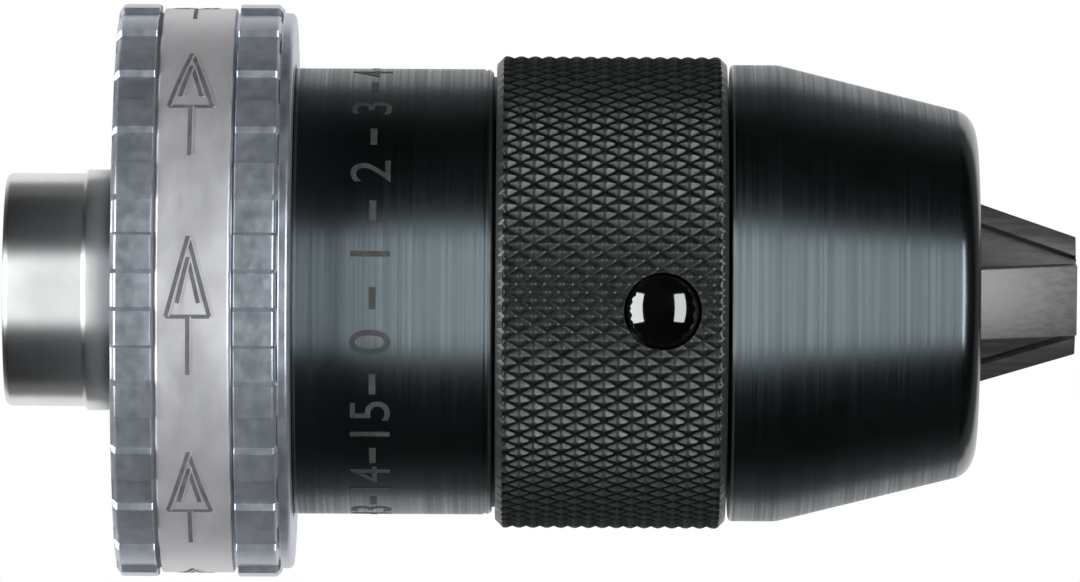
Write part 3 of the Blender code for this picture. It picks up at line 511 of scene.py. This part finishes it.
def copy_beyond(name, node, rear):
    """The part of a solid's own mesh that lies beyond a plane across the axis, as a new object."""
    bm = bmesh.new()
    bm.from_mesh(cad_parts[node].data)
    bmesh.ops.remove_doubles(bm, verts=bm.verts, dist=1e-7)
    mesh = bpy.data.meshes.new(name)
    bm.to_mesh(mesh)
    bm.free()
    mesh.materials.clear()
    made = shown(name, mesh)
    boolean(made, plate("cutter", box_outline(-FAR, rear, -FAR, FAR), 2 * FAR))
    return made


body = lathe("hub_and_body", hub_outside + join_face + bore, even(192), socket_thread)
boolean(body, copy_beyond("body_core", "chuck_body", HUB_END - 0.05), "UNION")
smooth(body)
finish_piece(body, hub_steel, "root", "polished_steel", "chuck_body")
END_FACE, BORE_EDGE_R = 0.06, 6.55
# Painted shade: the end face and the socket take the darker faced steel.
paint_faces(body, inner_steel, -1, END_FACE, 0)
paint_faces(body, inner_steel, -1, 2 * FAR, 0, BORE_EDGE_R)

# %% [markdown]
# ## The hand ring
# Two bands of pads stand proud of a plain middle band. Each pad is as wide as the gap beside it.
# The rows of the grid crowd together at the pads' edges, so that each edge is steep and still
# rounded.

# %% Hand ring
PADS, PAD_EDGE, PAD_DROP = 24, 0.4, 0.5
PAD_PITCH = 360 / PADS
EDGE_AT = PAD_PITCH / 4
pad_rows = [-EDGE_AT - PAD_EDGE, -EDGE_AT, -EDGE_AT + PAD_EDGE, -2.4, -1.2, 0, 1.2, 2.4]
pad_rows += [EDGE_AT - PAD_EDGE, EDGE_AT, EDGE_AT + PAD_EDGE, 5.1, 6.3, 7.5, 8.7, 9.9]
ring_angles = [PAD_PITCH * (pad + 0.5) + row for pad in range(PADS) for row in pad_rows]
LIP, LIP_R, GROOVE_R = RING_FRONT - 1.1, 25.3, BAND_R - 0.45
FRONT_BAND = LIP - 3.9
REAR_BAND = RING_REAR + 3.7
FACE_SPLIT_R = 24.4  # an extra point on each broad face, so that its shading stays even
ring_outside = [
    (RING_REAR, FACE_SPLIT_R), (RING_REAR, PAD_R - 0.55), (RING_REAR + 0.45, PAD_R),
    (REAR_BAND, PAD_R), (REAR_BAND, GROOVE_R), (REAR_BAND + 0.3, GROOVE_R),
    (REAR_BAND + 0.4, BAND_R), (FRONT_BAND - 0.4, BAND_R),
    (FRONT_BAND - 0.3, GROOVE_R), (FRONT_BAND, GROOVE_R), (FRONT_BAND, PAD_R),
    (LIP - 0.35, PAD_R), (LIP, PAD_R - 0.45), (LIP, LIP_R),
    (RING_FRONT - 0.3, LIP_R), (RING_FRONT, 25.0), (RING_FRONT, FACE_SPLIT_R),
]
ring_inside = [
    (RING_FRONT, 20.7), (18.9, 20.7), (18.9, 17.35), (14.3, 17.35),
    (14.3, 11.25), (12.4, 11.25), (12.4, 13.4),
]
ring_profile = eased([(RING_REAR, 13.4), *ring_outside, *ring_inside], 0.16)


def pads(x, r, turn):
    """Lowers the gaps between the pads."""
    half = PAD_PITCH / 2
    place = np.abs((np.degrees(turn) + half) % PAD_PITCH - half)
    gap = np.clip((EDGE_AT + PAD_EDGE - place) / (2 * PAD_EDGE), 0, 1)
    gap = gap * gap * (3 - 2 * gap)
    in_bands = (x < REAR_BAND + 0.01) | (x > FRONT_BAND - 0.01)
    on_pad = np.clip((r - BAND_R + 0.55) / 0.5, 0, 1) * in_bands
    return np.where(x < LIP + 0.01, -PAD_DROP * gap * on_pad, 0)


ring = lathe("hand_ring", ring_profile, ring_angles, pads)
finish_piece(ring, ring_grey, "root", "grey_ring", "grip_ring")
WEB_REAR, POCKET_FRONT, FACE_R = 12, 19, PAD_R - 0.7
# Painted shade: the rear face and the inner web take the darker, duller grey.
paint_faces(ring, cast_grey_and_shade, RING_REAR - 1, RING_REAR + 0.01, 0, FACE_R)
paint_faces(ring, cast_grey_and_shade, WEB_REAR, POCKET_FRONT, 11, FACE_R)
paint_faces(ring, band_grey, REAR_BAND + 0.2, FRONT_BAND - 0.2, BAND_R - 0.3)

# %% [markdown]
# ## Arrows on the ring
# An arrow shows which way to turn the sleeve to tighten. Each line of it is a thin strip that is
# bent round the ring, a hair proud of the surface, so it needs no texture and still reads in any
# view. Its dark grey is painted shade, for the shaded groove of an engraved line. A second,
# narrower strip of pale metal beside each line stands for the bright edge that an engraved line
# has.

# %% Wrapped strokes
def on_cylinder(radius, x, along, bearing):
    """The point that lies along mm round from a bearing."""
    turn = math.radians(bearing) + along / radius
    return Vector((x, -radius * math.cos(turn), radius * math.sin(turn))) * MM


STRIP_STEP = 0.5


def strokes(name, lines, radius, x, bearing, width, lift=0.03, sink=0.15):
    """Strips along lines of ((x, along), (x, along)) pairs in mm, bent round a cylinder."""
    bm = bmesh.new()
    for start, end in lines:
        start, end = Vector(start), Vector(end)
        side = (end - start).orthogonal().normalized() * width / 2
        section = ((side, lift), (-side, lift), (-side, -sink), (side, -sink))
        steps = max(2, math.ceil((end - start).length / STRIP_STEP))
        rails = []
        for step in range(steps + 1):
            middle = start.lerp(end, step / steps)
            rails.append([])
            for offset, up in section:
                corner = middle + offset
                place = on_cylinder(radius + up, x + corner.x, corner.y, bearing)
                rails[-1].append(bm.verts.new(place))
        for first, second in zip(rails, rails[1:]):
            for index in range(4):
                other = (index + 1) % 4
                bm.faces.new((first[index], first[other], second[other], second[index]))
        bm.faces.new(rails[0])
        bm.faces.new(rails[-1][::-1])
    bm.normal_update()
    bmesh.ops.recalc_face_normals(bm, faces=bm.faces)
    mesh = bpy.data.meshes.new(name)
    bm.to_mesh(mesh)
    bm.free()
    return shown(name, mesh)


TIP, INNER_TIP, BASE, TAIL = (0, 5.3), (0, 3.4), -1.9, (0, -7.2)
ARROWS, ARROW_START, LINE_WIDTH = 8, -1, 0.36
EDGE_OFFSET, EDGE_WIDTH, EDGE_LIFT = 0.27, 0.14, 0.06
head = [(TIP, (-1.95, BASE)), (TIP, (1.95, BASE))]
crossbar = ((-1.95, BASE), (1.95, BASE))
inside = [(INNER_TIP, (-0.95, -0.7)), (INNER_TIP, (0.95, -0.7)), ((0, BASE), TAIL)]
band_middle = (REAR_BAND + FRONT_BAND) / 2 - 0.4
for number in range(ARROWS):
    bearing = 360 / ARROWS * number + ARROW_START
    lines = [*head, crossbar, *inside]
    # Each arrow line is painted dark grey, as the shade in an engraved groove.
    mark = strokes(f"ring_arrow_{number}", lines, BAND_R, band_middle, bearing, LINE_WIDTH)
    finish_piece(mark, engraving_shade_grey, "root", "grey_ring")
    edge_name, edge_x = f"ring_arrow_edge_{number}", band_middle + EDGE_OFFSET
    edge_lines = head + inside
    glint = strokes(edge_name, edge_lines, BAND_R, edge_x, bearing, EDGE_WIDTH, EDGE_LIFT)
    finish_piece(glint, band_grey, "root", "grey_ring")

# %% [markdown]
# ## The rear sleeve
# A plain turned tube with a shallow line near its front edge. A row of numbers runs round it,
# like those of a dial. Each is a text object made into a mesh and then wrapped: the text's width
# goes round the sleeve, and its height goes along the axis. The mesh is first sliced into narrow
# strips, because one flat face can't bend.

# %% Rear sleeve
SEAM = KNURL_REAR - KNURL_GAP
STEP_R, SEAT_LAP_R, INSIDE_R = SLEEVE_R - 0.12, 19.6, 14.2
sleeve_profile = eased(
    [
        (SLEEVE_REAR, INSIDE_R), (SLEEVE_REAR, SLEEVE_R - 0.2), (RING_FRONT - 0.1, SLEEVE_R - 0.2),
        (RING_FRONT + 0.1, SLEEVE_R), (RING_FRONT + 0.45, SLEEVE_R), (SEAM - 0.75, SLEEVE_R),
        (SEAM - 0.7, STEP_R), (SEAM - 0.5, STEP_R), (SEAM - 0.45, SLEEVE_R),
        (SEAM, SLEEVE_R - 0.25), (SEAM, SEAT_LAP_R), (LAP_FRONT, SEAT_LAP_R),
        (LAP_FRONT, 18.9), (27.0, 18.9), (27.0, INSIDE_R),
    ],
    0.15,
)
sleeve = lathe("sleeve_rear", sleeve_profile, even(256))
finish_piece(sleeve, black_oxide, "outer_sleeve", "blackened_steel", "rear_sleeve")
# Painted highlight: paler bands at the sleeve's front lip and at the seam.
paint_faces(sleeve, painted_edge_highlight, RING_FRONT + 0.05, RING_FRONT + 0.42, SLEEVE_R - 0.3)
paint_faces(sleeve, painted_edge_highlight, SEAM - 0.35, SEAM + 0.01, SLEEVE_R - 0.3)


# %% Numbers round the sleeve
TEXT_HALF_DEPTH, STRIP = 0.04, 0.3


def wrapped_text(name, text, size, radius, x, bearing):
    """A text that stands across the axis and follows the cylinder's curve."""
    curve = bpy.data.curves.new(name, "FONT")
    curve.body = text
    curve.size = size
    curve.align_x = "CENTER"
    curve.align_y = "CENTER"
    curve.extrude = TEXT_HALF_DEPTH
    curve.resolution_u = 4
    drawn = bpy.data.objects.new(name, curve)
    bpy.context.scene.collection.objects.link(drawn)
    bpy.context.view_layer.update()
    graph = bpy.context.evaluated_depsgraph_get()
    mesh = bpy.data.meshes.new_from_object(drawn.evaluated_get(graph))
    bpy.data.objects.remove(drawn)
    bm = bmesh.new()
    bm.from_mesh(mesh)
    bmesh.ops.remove_doubles(bm, verts=bm.verts, dist=1e-5)
    for cut in np.arange(-size / 2, size / 2, STRIP):
        everything = [*bm.verts, *bm.edges, *bm.faces]
        bmesh.ops.bisect_plane(bm, geom=everything, plane_co=(cut, 0, 0), plane_no=(1, 0, 0))
    for vertex in bm.verts:
        across, height, up = vertex.co
        vertex.co = on_cylinder(radius + up, x - height, across, bearing)
    bm.normal_update()
    bmesh.ops.recalc_face_normals(bm, faces=bm.faces)
    bm.to_mesh(mesh)
    bm.free()
    return shown(name, mesh)


MARK_X, MARKS, MARK_SIZE, MARK_START, DASH_WIDTH = 33.6, 16, 5.2, -13, 0.6
dash_line = [((0, -1), (0, 1))]
for number in range(MARKS):
    bearing = 360 * number / MARKS + MARK_START
    label = wrapped_text(f"size_{number}", str(number), MARK_SIZE, SLEEVE_R, MARK_X, bearing)
    finish_piece(label, size_marks, "outer_sleeve", "blackened_steel")
    between = bearing + 180 / MARKS
    dash = strokes(f"size_dash_{number}", dash_line, SLEEVE_R, MARK_X, between, DASH_WIDTH)
    finish_piece(dash, size_marks, "outer_sleeve", "blackened_steel")

# %% [markdown]
# ## The knurled sleeve
# A diamond knurl is two sets of grooves that cross, each about 30 degrees off the axis. In the
# grid that is two triangle waves, one for each slant, and the deeper of them wins at each point.
# A bump map would leave the outline smooth, so the diamonds are real geometry, and the sleeve's
# edge is toothed as a real one is.

# %% Knurled sleeve
DIAMONDS, DIAMOND_LENGTH, KNURL_DEPTH, CREST_FLAT = 92, 2.53, 0.42, 0.12
ROWS_A_DIAMOND, COLUMNS_A_DIAMOND = 10, 16
knurl_start, knurl_end = KNURL_REAR + 0.75, KNURL_FRONT - 0.7
step = DIAMOND_LENGTH / COLUMNS_A_DIAMOND
outer = [(x, KNURL_R) for x in np.arange(knurl_start, knurl_end, step)]
knurl_profile = [
    (KNURL_REAR, 19.9), (KNURL_REAR, 20.7), (KNURL_REAR + 0.08, 20.82), (KNURL_REAR + 0.6, 21.34),
    *outer,
    (KNURL_FRONT - 0.55, 21.34), (KNURL_FRONT - 0.08, 20.87), (KNURL_FRONT, 20.75),
    (KNURL_FRONT, 18.9), (48.6, 18.9), (48.6, 19.9),
]


def diamonds(x, r, turn):
    """Sinks the two sets of slanting grooves into the knurled face."""
    round_it = DIAMONDS * turn / (2 * math.pi)
    slants = [np.abs((round_it + side * x / DIAMOND_LENGTH) % 1 - 0.5) * 2 for side in (1, -1)]
    groove = np.clip((np.maximum(*slants) - CREST_FLAT) / (1 - CREST_FLAT), 0, 1)
    return np.where(r > KNURL_R - 0.01, -KNURL_DEPTH * groove, 0)


def outward(bearing):
    """Stands a piece that was turned on the axis up on the sleeve, at the studs' place."""
    upright = Matrix.Rotation(math.pi / 2, 4, "Z")
    return Matrix.Translation((STUD_X * MM, 0, 0)) @ facing(bearing) @ upright


knurl = lathe("sleeve_knurled", knurl_profile, even(DIAMONDS * ROWS_A_DIAMOND), diamonds)
HOLE_R = 3.5
hole_profile = [(17, 0.01), (17, HOLE_R), (24, HOLE_R), (24, 0.01)]
for bearing in STUD_BEARINGS:
    hole = lathe("stud_hole", hole_profile, even(64))
    hole.matrix_world = outward(bearing)
    boolean(knurl, hole)
smooth(knurl, 60)
finish_piece(knurl, knurl_black, "outer_sleeve", "blackened_knurl", "knurled_sleeve")

# %% [markdown]
# Three domed studs sit in the holes. Their tops are parts of a sphere, worked out by a formula,
# and a dark gap is left round each.

# %% Stop studs
STUD_R, DOME_R, STUD_TOP, STUD_FOOT = 3.22, 5.0, KNURL_R + 0.4, 17.7
dome = [
    (STUD_TOP - DOME_R * (1 - math.cos(t)), DOME_R * math.sin(t))
    for t in np.linspace(math.asin((STUD_R - 0.1) / DOME_R), 0.002, 16)
]
shank = [(STUD_FOOT, 0.01), (STUD_FOOT, STUD_R), (dome[0][0] - 0.1, STUD_R)]
for number, bearing in enumerate(STUD_BEARINGS, 1):
    stud = lathe(f"stud_{number}", shank + dome, even(72))
    stud.data.transform(outward(bearing))
    finish_piece(stud, stud_black, "outer_sleeve", "gloss_black", f"stop_stud_{number}")

# %% [markdown]
# ## The nose
# The nose turns with the sleeve and guides the jaws. Its profile runs from a short cylinder to a
# cone and a rounded corner. Three T-shaped channels are cut down through it, each by two plates:
# a wide one for the jaw's rib and a narrower one for its web. A third plate clears the cavity's
# wall, where the rib passes when the jaws are drawn back.

# %% Nose
SLOPE = 0.375
TIP_R = 4.4


def back_line(x, offset=0.0):
    """Radius of a jaw's sloping back at x."""
    return TIP_R + SLOPE * (JAW_TIP - x) + offset * math.hypot(1, SLOPE)


def sloping(rear, front, inner, outer):
    """The outline of a bar that runs along a jaw's back, between two offsets from it."""
    return [
        (rear, back_line(rear, inner)), (front, back_line(front, inner)),
        (front, back_line(front, outer)), (rear, back_line(rear, outer)),
    ]


CORNER_LENGTH, CORNER_DEPTH, CORNER_AXIS_R, CONE_MEETS = 2.2, 2.9, 13.9, 0.19
CORNER = NOSE_FRONT - CORNER_LENGTH
corner = [
    (CORNER + CORNER_LENGTH * math.sin(t), CORNER_AXIS_R + CORNER_DEPTH * math.cos(t))
    for t in np.linspace(CONE_MEETS, math.pi / 2, 18)
]
NOSE_BORE_R, CAVITY_FRONT, CAVITY_R = 5.5, 66.4, 15.2
nose_profile = [
    (SPIGOT_REAR, 17.0), (SPIGOT_REAR, 18.6), (SHOULDER, 18.6), (SHOULDER, NOSE_R - 0.35),
    (SHOULDER + 0.1, NOSE_R - 0.1), (SHOULDER + 0.3, NOSE_R), (SHOULDER + 4.1, NOSE_R),
    (SHOULDER + 4.6, NOSE_R - 0.06), *corner,
    (NOSE_FRONT, NOSE_BORE_R + 0.4), (NOSE_FRONT - 0.4, NOSE_BORE_R), (CAVITY_FRONT, NOSE_BORE_R),
    (CAVITY_FRONT, CAVITY_R), (46.0, CAVITY_R), (46.0, 17.0),
]
nose = lathe("nose_cone", nose_profile, even(240))
CHANNEL_REAR, CHANNEL_FRONT = 66.0, NOSE_FRONT + 2
rib_channel = sloping(CHANNEL_REAR, CHANNEL_FRONT, -2.1, 0.3)
web_channel = [
    (CHANNEL_REAR, 3.0), (CHANNEL_FRONT, 3.0),
    (CHANNEL_FRONT, back_line(CHANNEL_FRONT, -1.8)), (CHANNEL_REAR, back_line(CHANNEL_REAR, -1.8)),
]
cavity_groove = box_outline(53, CAVITY_FRONT + 0.4, 13, CAVITY_R + 1)
channels = {
    "rib_channel": (rib_channel, 7.0),
    "web_channel": (web_channel, 5.2),
    "cavity_groove": (cavity_groove, 7.3),
}
for bearing in JAW_BEARINGS:
    for name, (outline, width) in channels.items():
        boolean(nose, plate(name, outline, width, bearing))
smooth(nose)
finish_piece(nose, black_oxide, "nose", "blackened_steel", "nose")
# Painted highlight: a paler band at the nose's shoulder.
paint_faces(nose, painted_edge_highlight, SHOULDER + 0.05, SHOULDER + 0.35, NOSE_R - 0.4)
paint_faces(nose, rolled_black, CORNER + 0.45, NOSE_FRONT + 1, 13)

# %% [markdown]
# ## The jaws
# Each jaw is a web with a wide rib on its back, which makes the T, and a tail that hooks into
# the spindle. The gripping edge has fine teeth, and its two faces meet the neighbouring jaws at
# 120 degrees. A small bevel then eases every edge.

# %% Jaws
GRIP_START, TEETH, GRIP_R, TOOTH_R = JAW_TIP - 16.5, 13, 0.35, 0.62
CAP_R, TAIL_LOW, TAIL_HIGH, TAIL_LENGTH = 10.8, 3.6, 9.4, 2.2
WEB_WIDTH, RIB_WIDTH, RIB_DEPTH, WEB_OFFSET = 4.6, 6.4, 1.8, -0.9
cap_end = JAW_TIP - (CAP_R - back_line(JAW_TIP, WEB_OFFSET)) / SLOPE
rib_start = JAW_TIP - (CAP_R - TIP_R) / SLOPE
teeth = []
for number in range(TEETH):
    at_x = GRIP_START + 0.5 + number * (JAW_TIP - GRIP_START - 0.8) / TEETH
    teeth += [(at_x, GRIP_R), (at_x + 0.25, TOOTH_R), (at_x + 0.5, GRIP_R)]
web_outline = [
    (JAW_TAIL, TAIL_LOW), (GRIP_START - 1.2, TAIL_LOW), (GRIP_START, GRIP_R), *teeth,
    (JAW_TIP, GRIP_R), (JAW_TIP, back_line(JAW_TIP, WEB_OFFSET)), (cap_end, CAP_R),
    (CAVITY_FRONT, CAP_R), (CAVITY_FRONT, TAIL_HIGH), (JAW_TAIL, TAIL_HIGH),
]
rib = sloping(rib_start, JAW_TIP + 0.02, -RIB_DEPTH, 0)
tail = box_outline(JAW_TAIL, JAW_TAIL + TAIL_LENGTH, TAIL_LOW, TAIL_HIGH)
FACE_THICKNESS, FACE_GAP, JAW_BEVEL = 12, 0.15, 0.09
half_corner = math.radians(180 / len(JAW_BEARINGS))
for number, bearing in enumerate(JAW_BEARINGS, 1):
    jaw = plate(f"jaw_steel_{number}", web_outline, WEB_WIDTH)
    boolean(jaw, plate("rib", rib, RIB_WIDTH), "UNION")
    boolean(jaw, plate("tail", tail, RIB_WIDTH), "UNION")
    for side in (1, -1):
        face = plate("jaw_face", box_outline(55, 100, -8, 14), FACE_THICKNESS)
        face.data.transform(Matrix.Translation((0, 0, (FACE_THICKNESS / 2 - FACE_GAP) * MM)))
        face.data.transform(Matrix.Rotation(half_corner, 4, "X"))
        if side < 0:
            face.data.transform(Matrix.Scale(-1, 4, (0, 0, 1)))
            face.data.flip_normals()
        boolean(jaw, face)
    bevel = jaw.modifiers.new("edges", "BEVEL")
    bevel.width = JAW_BEVEL * MM
    bevel.segments = 2
    bevel.limit_method = "ANGLE"
    bevel.angle_limit = math.radians(25)
    bake(jaw)
    jaw.data.transform(facing(bearing))
    smooth(jaw, 30)
    finish_piece(jaw, jaw_steel, f"jaw_{number}", "ground_steel", f"jaw_{number}")

# %% [markdown]
# ## Pieces inside
# The spindle, bearing, clutch, clips and seal keep the shapes of their solids. Each gets a
# worked metal or felt in place of a flat colour.

# %% Inner pieces
BALLS = 12
inner = {
    "ring_clip": spring_blue, "spring_clip": spring_blue, "wave_spring": spring_blue,
    "felt_seal": felt, "front_race": race_steel, "rear_race": race_steel,
    "ball_cage": cage_brass, "thrust_nut": inner_steel, "lock_ring": inner_steel,
    "adjusting_spindle": inner_steel,
}
inner.update({f"ball_{number:02d}": race_steel for number in range(1, BALLS + 1)})
for node, material in inner.items():
    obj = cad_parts[node]
    if not obj.material_slots:
        obj.data.materials.append(material)
    for place in obj.material_slots:
        place.material = material
print(len(inner), "inner pieces painted")

# %% [markdown]
# ## The studio
# Two tall soft panels stand to the sides of the camera, in a dark room that is open to a white
# wall behind the chuck. Only reflections see the room. It keeps the black steel black, and
# leaves one band of light along the middle and a thin glow at the rims. The world is white to
# the camera and in reflections, and a mild grey as a light.

# %% World
world = bpy.data.worlds.new("studio")
bpy.context.scene.world = world
world.use_nodes = True
tree = world.node_tree
backdrop = tree.nodes["Background"]
backdrop.inputs["Color"].default_value = (1, 1, 1, 1)
path = tree.nodes.new("ShaderNodeLightPath")
either = path.outputs["Is Camera Ray"]
for ray in ("Is Glossy Ray", "Is Transmission Ray"):
    larger = tree.nodes.new("ShaderNodeMath")
    larger.operation = "MAXIMUM"
    tree.links.new(either, larger.inputs[0])
    tree.links.new(path.outputs[ray], larger.inputs[1])
    either = larger.outputs["Value"]
AMBIENT = 0.25
level = spread_to(tree, either, AMBIENT, 1.0, 0.0, 1.0)
tree.links.new(level, backdrop.inputs["Strength"])
print("world: white when seen,", AMBIENT, "as a light")

# %% The dark room
ROOM_R, GREY_FROM, GREY_FULL, OPEN_FROM, GREY = 1.9, 104, 114, 138, 0.16
room_walls, tree, shader = new_material(
    "room_walls", (0.002,) * 3, 0.0, 1.0, Specular_IOR_Level=0.0
)
shader.inputs["Emission Color"].default_value = (1, 1, 1, 1)
place = tree.nodes.new("ShaderNodeTexCoord")
split = tree.nodes.new("ShaderNodeSeparateXYZ")
tree.links.new(place.outputs["Object"], split.inputs["Vector"])
glow_start, glow_full, open_y = (
    -ROOM_R * math.cos(math.radians(turn)) for turn in (GREY_FROM, GREY_FULL, OPEN_FROM)
)
glow = spread_to(tree, split.outputs["Y"], 0.0, GREY, glow_start, glow_full)
tree.links.new(glow, shader.inputs["Emission Strength"])
CENTRE = (cad_low[0] + cad_high[0]) / 2
bm = bmesh.new()
bmesh.ops.create_uvsphere(bm, u_segments=48, v_segments=32, radius=ROOM_R)
opening = [v for v in bm.verts if v.co.y > open_y and abs(v.co.x) < ROOM_R / 2]
bmesh.ops.delete(bm, geom=opening, context="VERTS")
mesh = bpy.data.meshes.new("dark_room")
bm.to_mesh(mesh)
bm.free()
room = shown("dark_room", mesh)
room.location.x = CENTRE
room.data.materials.append(room_walls)
for ray in ("camera", "diffuse", "transmission", "volume_scatter", "shadow"):
    setattr(room, "visible_" + ray, False)
print("dark room hung")


# %% Lamps
PANEL_AWAY, PANEL_HEIGHT, PANEL_TINT = 1.3, 1.35, (0.95, 0.99, 1.0)


def panel(name, azimuth, width, power):
    """An area lamp aimed at the chuck. Azimuth 0 is at the camera, and it grows to the right."""
    lamp = bpy.data.lights.new(name, "AREA")
    lamp.shape = "RECTANGLE"
    lamp.size = width
    lamp.size_y = PANEL_HEIGHT
    lamp.energy = power
    lamp.color = PANEL_TINT
    holder = bpy.data.objects.new(name, lamp)
    bpy.context.scene.collection.objects.link(holder)
    turn = math.radians(azimuth)
    away = Vector((math.sin(turn), -math.cos(turn), 0))
    holder.location = Vector((CENTRE, 0, 0)) + away * PANEL_AWAY
    holder.rotation_euler = (-away).to_track_quat("-Z", "Y").to_euler()


panel("panel_right", 37, 0.55, 14.5)
panel("panel_left", -59, 0.8, 25)
print("lamps:", len(bpy.data.lights))

# %% [markdown]
# The floor is pale and lies a hand's width below, so it is out of the straight-on view and takes
# a soft shadow in the others. It casts none itself, so that the lower halves of the panels still
# light the chuck.

# %% Floor
FLOOR_R, FLOOR_Z, FLOOR_GLOW = 1.6, -0.09, 0.32
bpy.ops.mesh.primitive_circle_add(
    vertices=96, radius=FLOOR_R, fill_type="NGON", location=(CENTRE, 0, FLOOR_Z)
)
floor = bpy.context.object
floor.name = "studio_floor"
paint, tree, shader = new_material("floor_paint", (0.93,) * 3, 0.0, 0.8)
speck = noise(tree, (40,) * 3, 2.0)
tree.links.new(two_tones(tree, speck, (0.92,) * 3, (0.94,) * 3), shader.inputs["Base Color"])
shader.inputs["Emission Color"].default_value = (1, 1, 1, 1)
seen = tree.nodes.new("ShaderNodeLightPath").outputs["Is Camera Ray"]
glow = spread_to(tree, seen, 0.0, FLOOR_GLOW, 0.0, 1.0)
tree.links.new(glow, shader.inputs["Emission Strength"])
floor.data.materials.append(paint)
floor.visible_glossy = False
floor.visible_shadow = False
print("floor at", FLOOR_Z, "m")

# %% [markdown]
# ## The camera
# A long lens far away keeps the outlines nearly parallel. The camera stands level with the axis,
# square to it, with a very slight roll.

# %% Camera
DISTANCE, AIM_X, AIM_Z, ROLL = 1.01, 0.0486, 0.0001, -0.3
HALF_FRAME, SENSOR = 0.04925, 36
camera_data = bpy.data.cameras.new("camera")
camera_data.sensor_width = SENSOR
camera_data.lens = SENSOR / 2 * DISTANCE / HALF_FRAME
camera_data.clip_start = 0.01
camera = bpy.data.objects.new("camera", camera_data)
bpy.context.scene.collection.objects.link(camera)
camera.location = (AIM_X, -DISTANCE, AIM_Z)
camera.rotation_euler = (math.pi / 2, math.radians(ROLL), 0)
bpy.context.scene.camera = camera
bpy.context.scene.view_settings.view_transform = "Standard"
print(f"lens {camera_data.lens:.0f} mm")
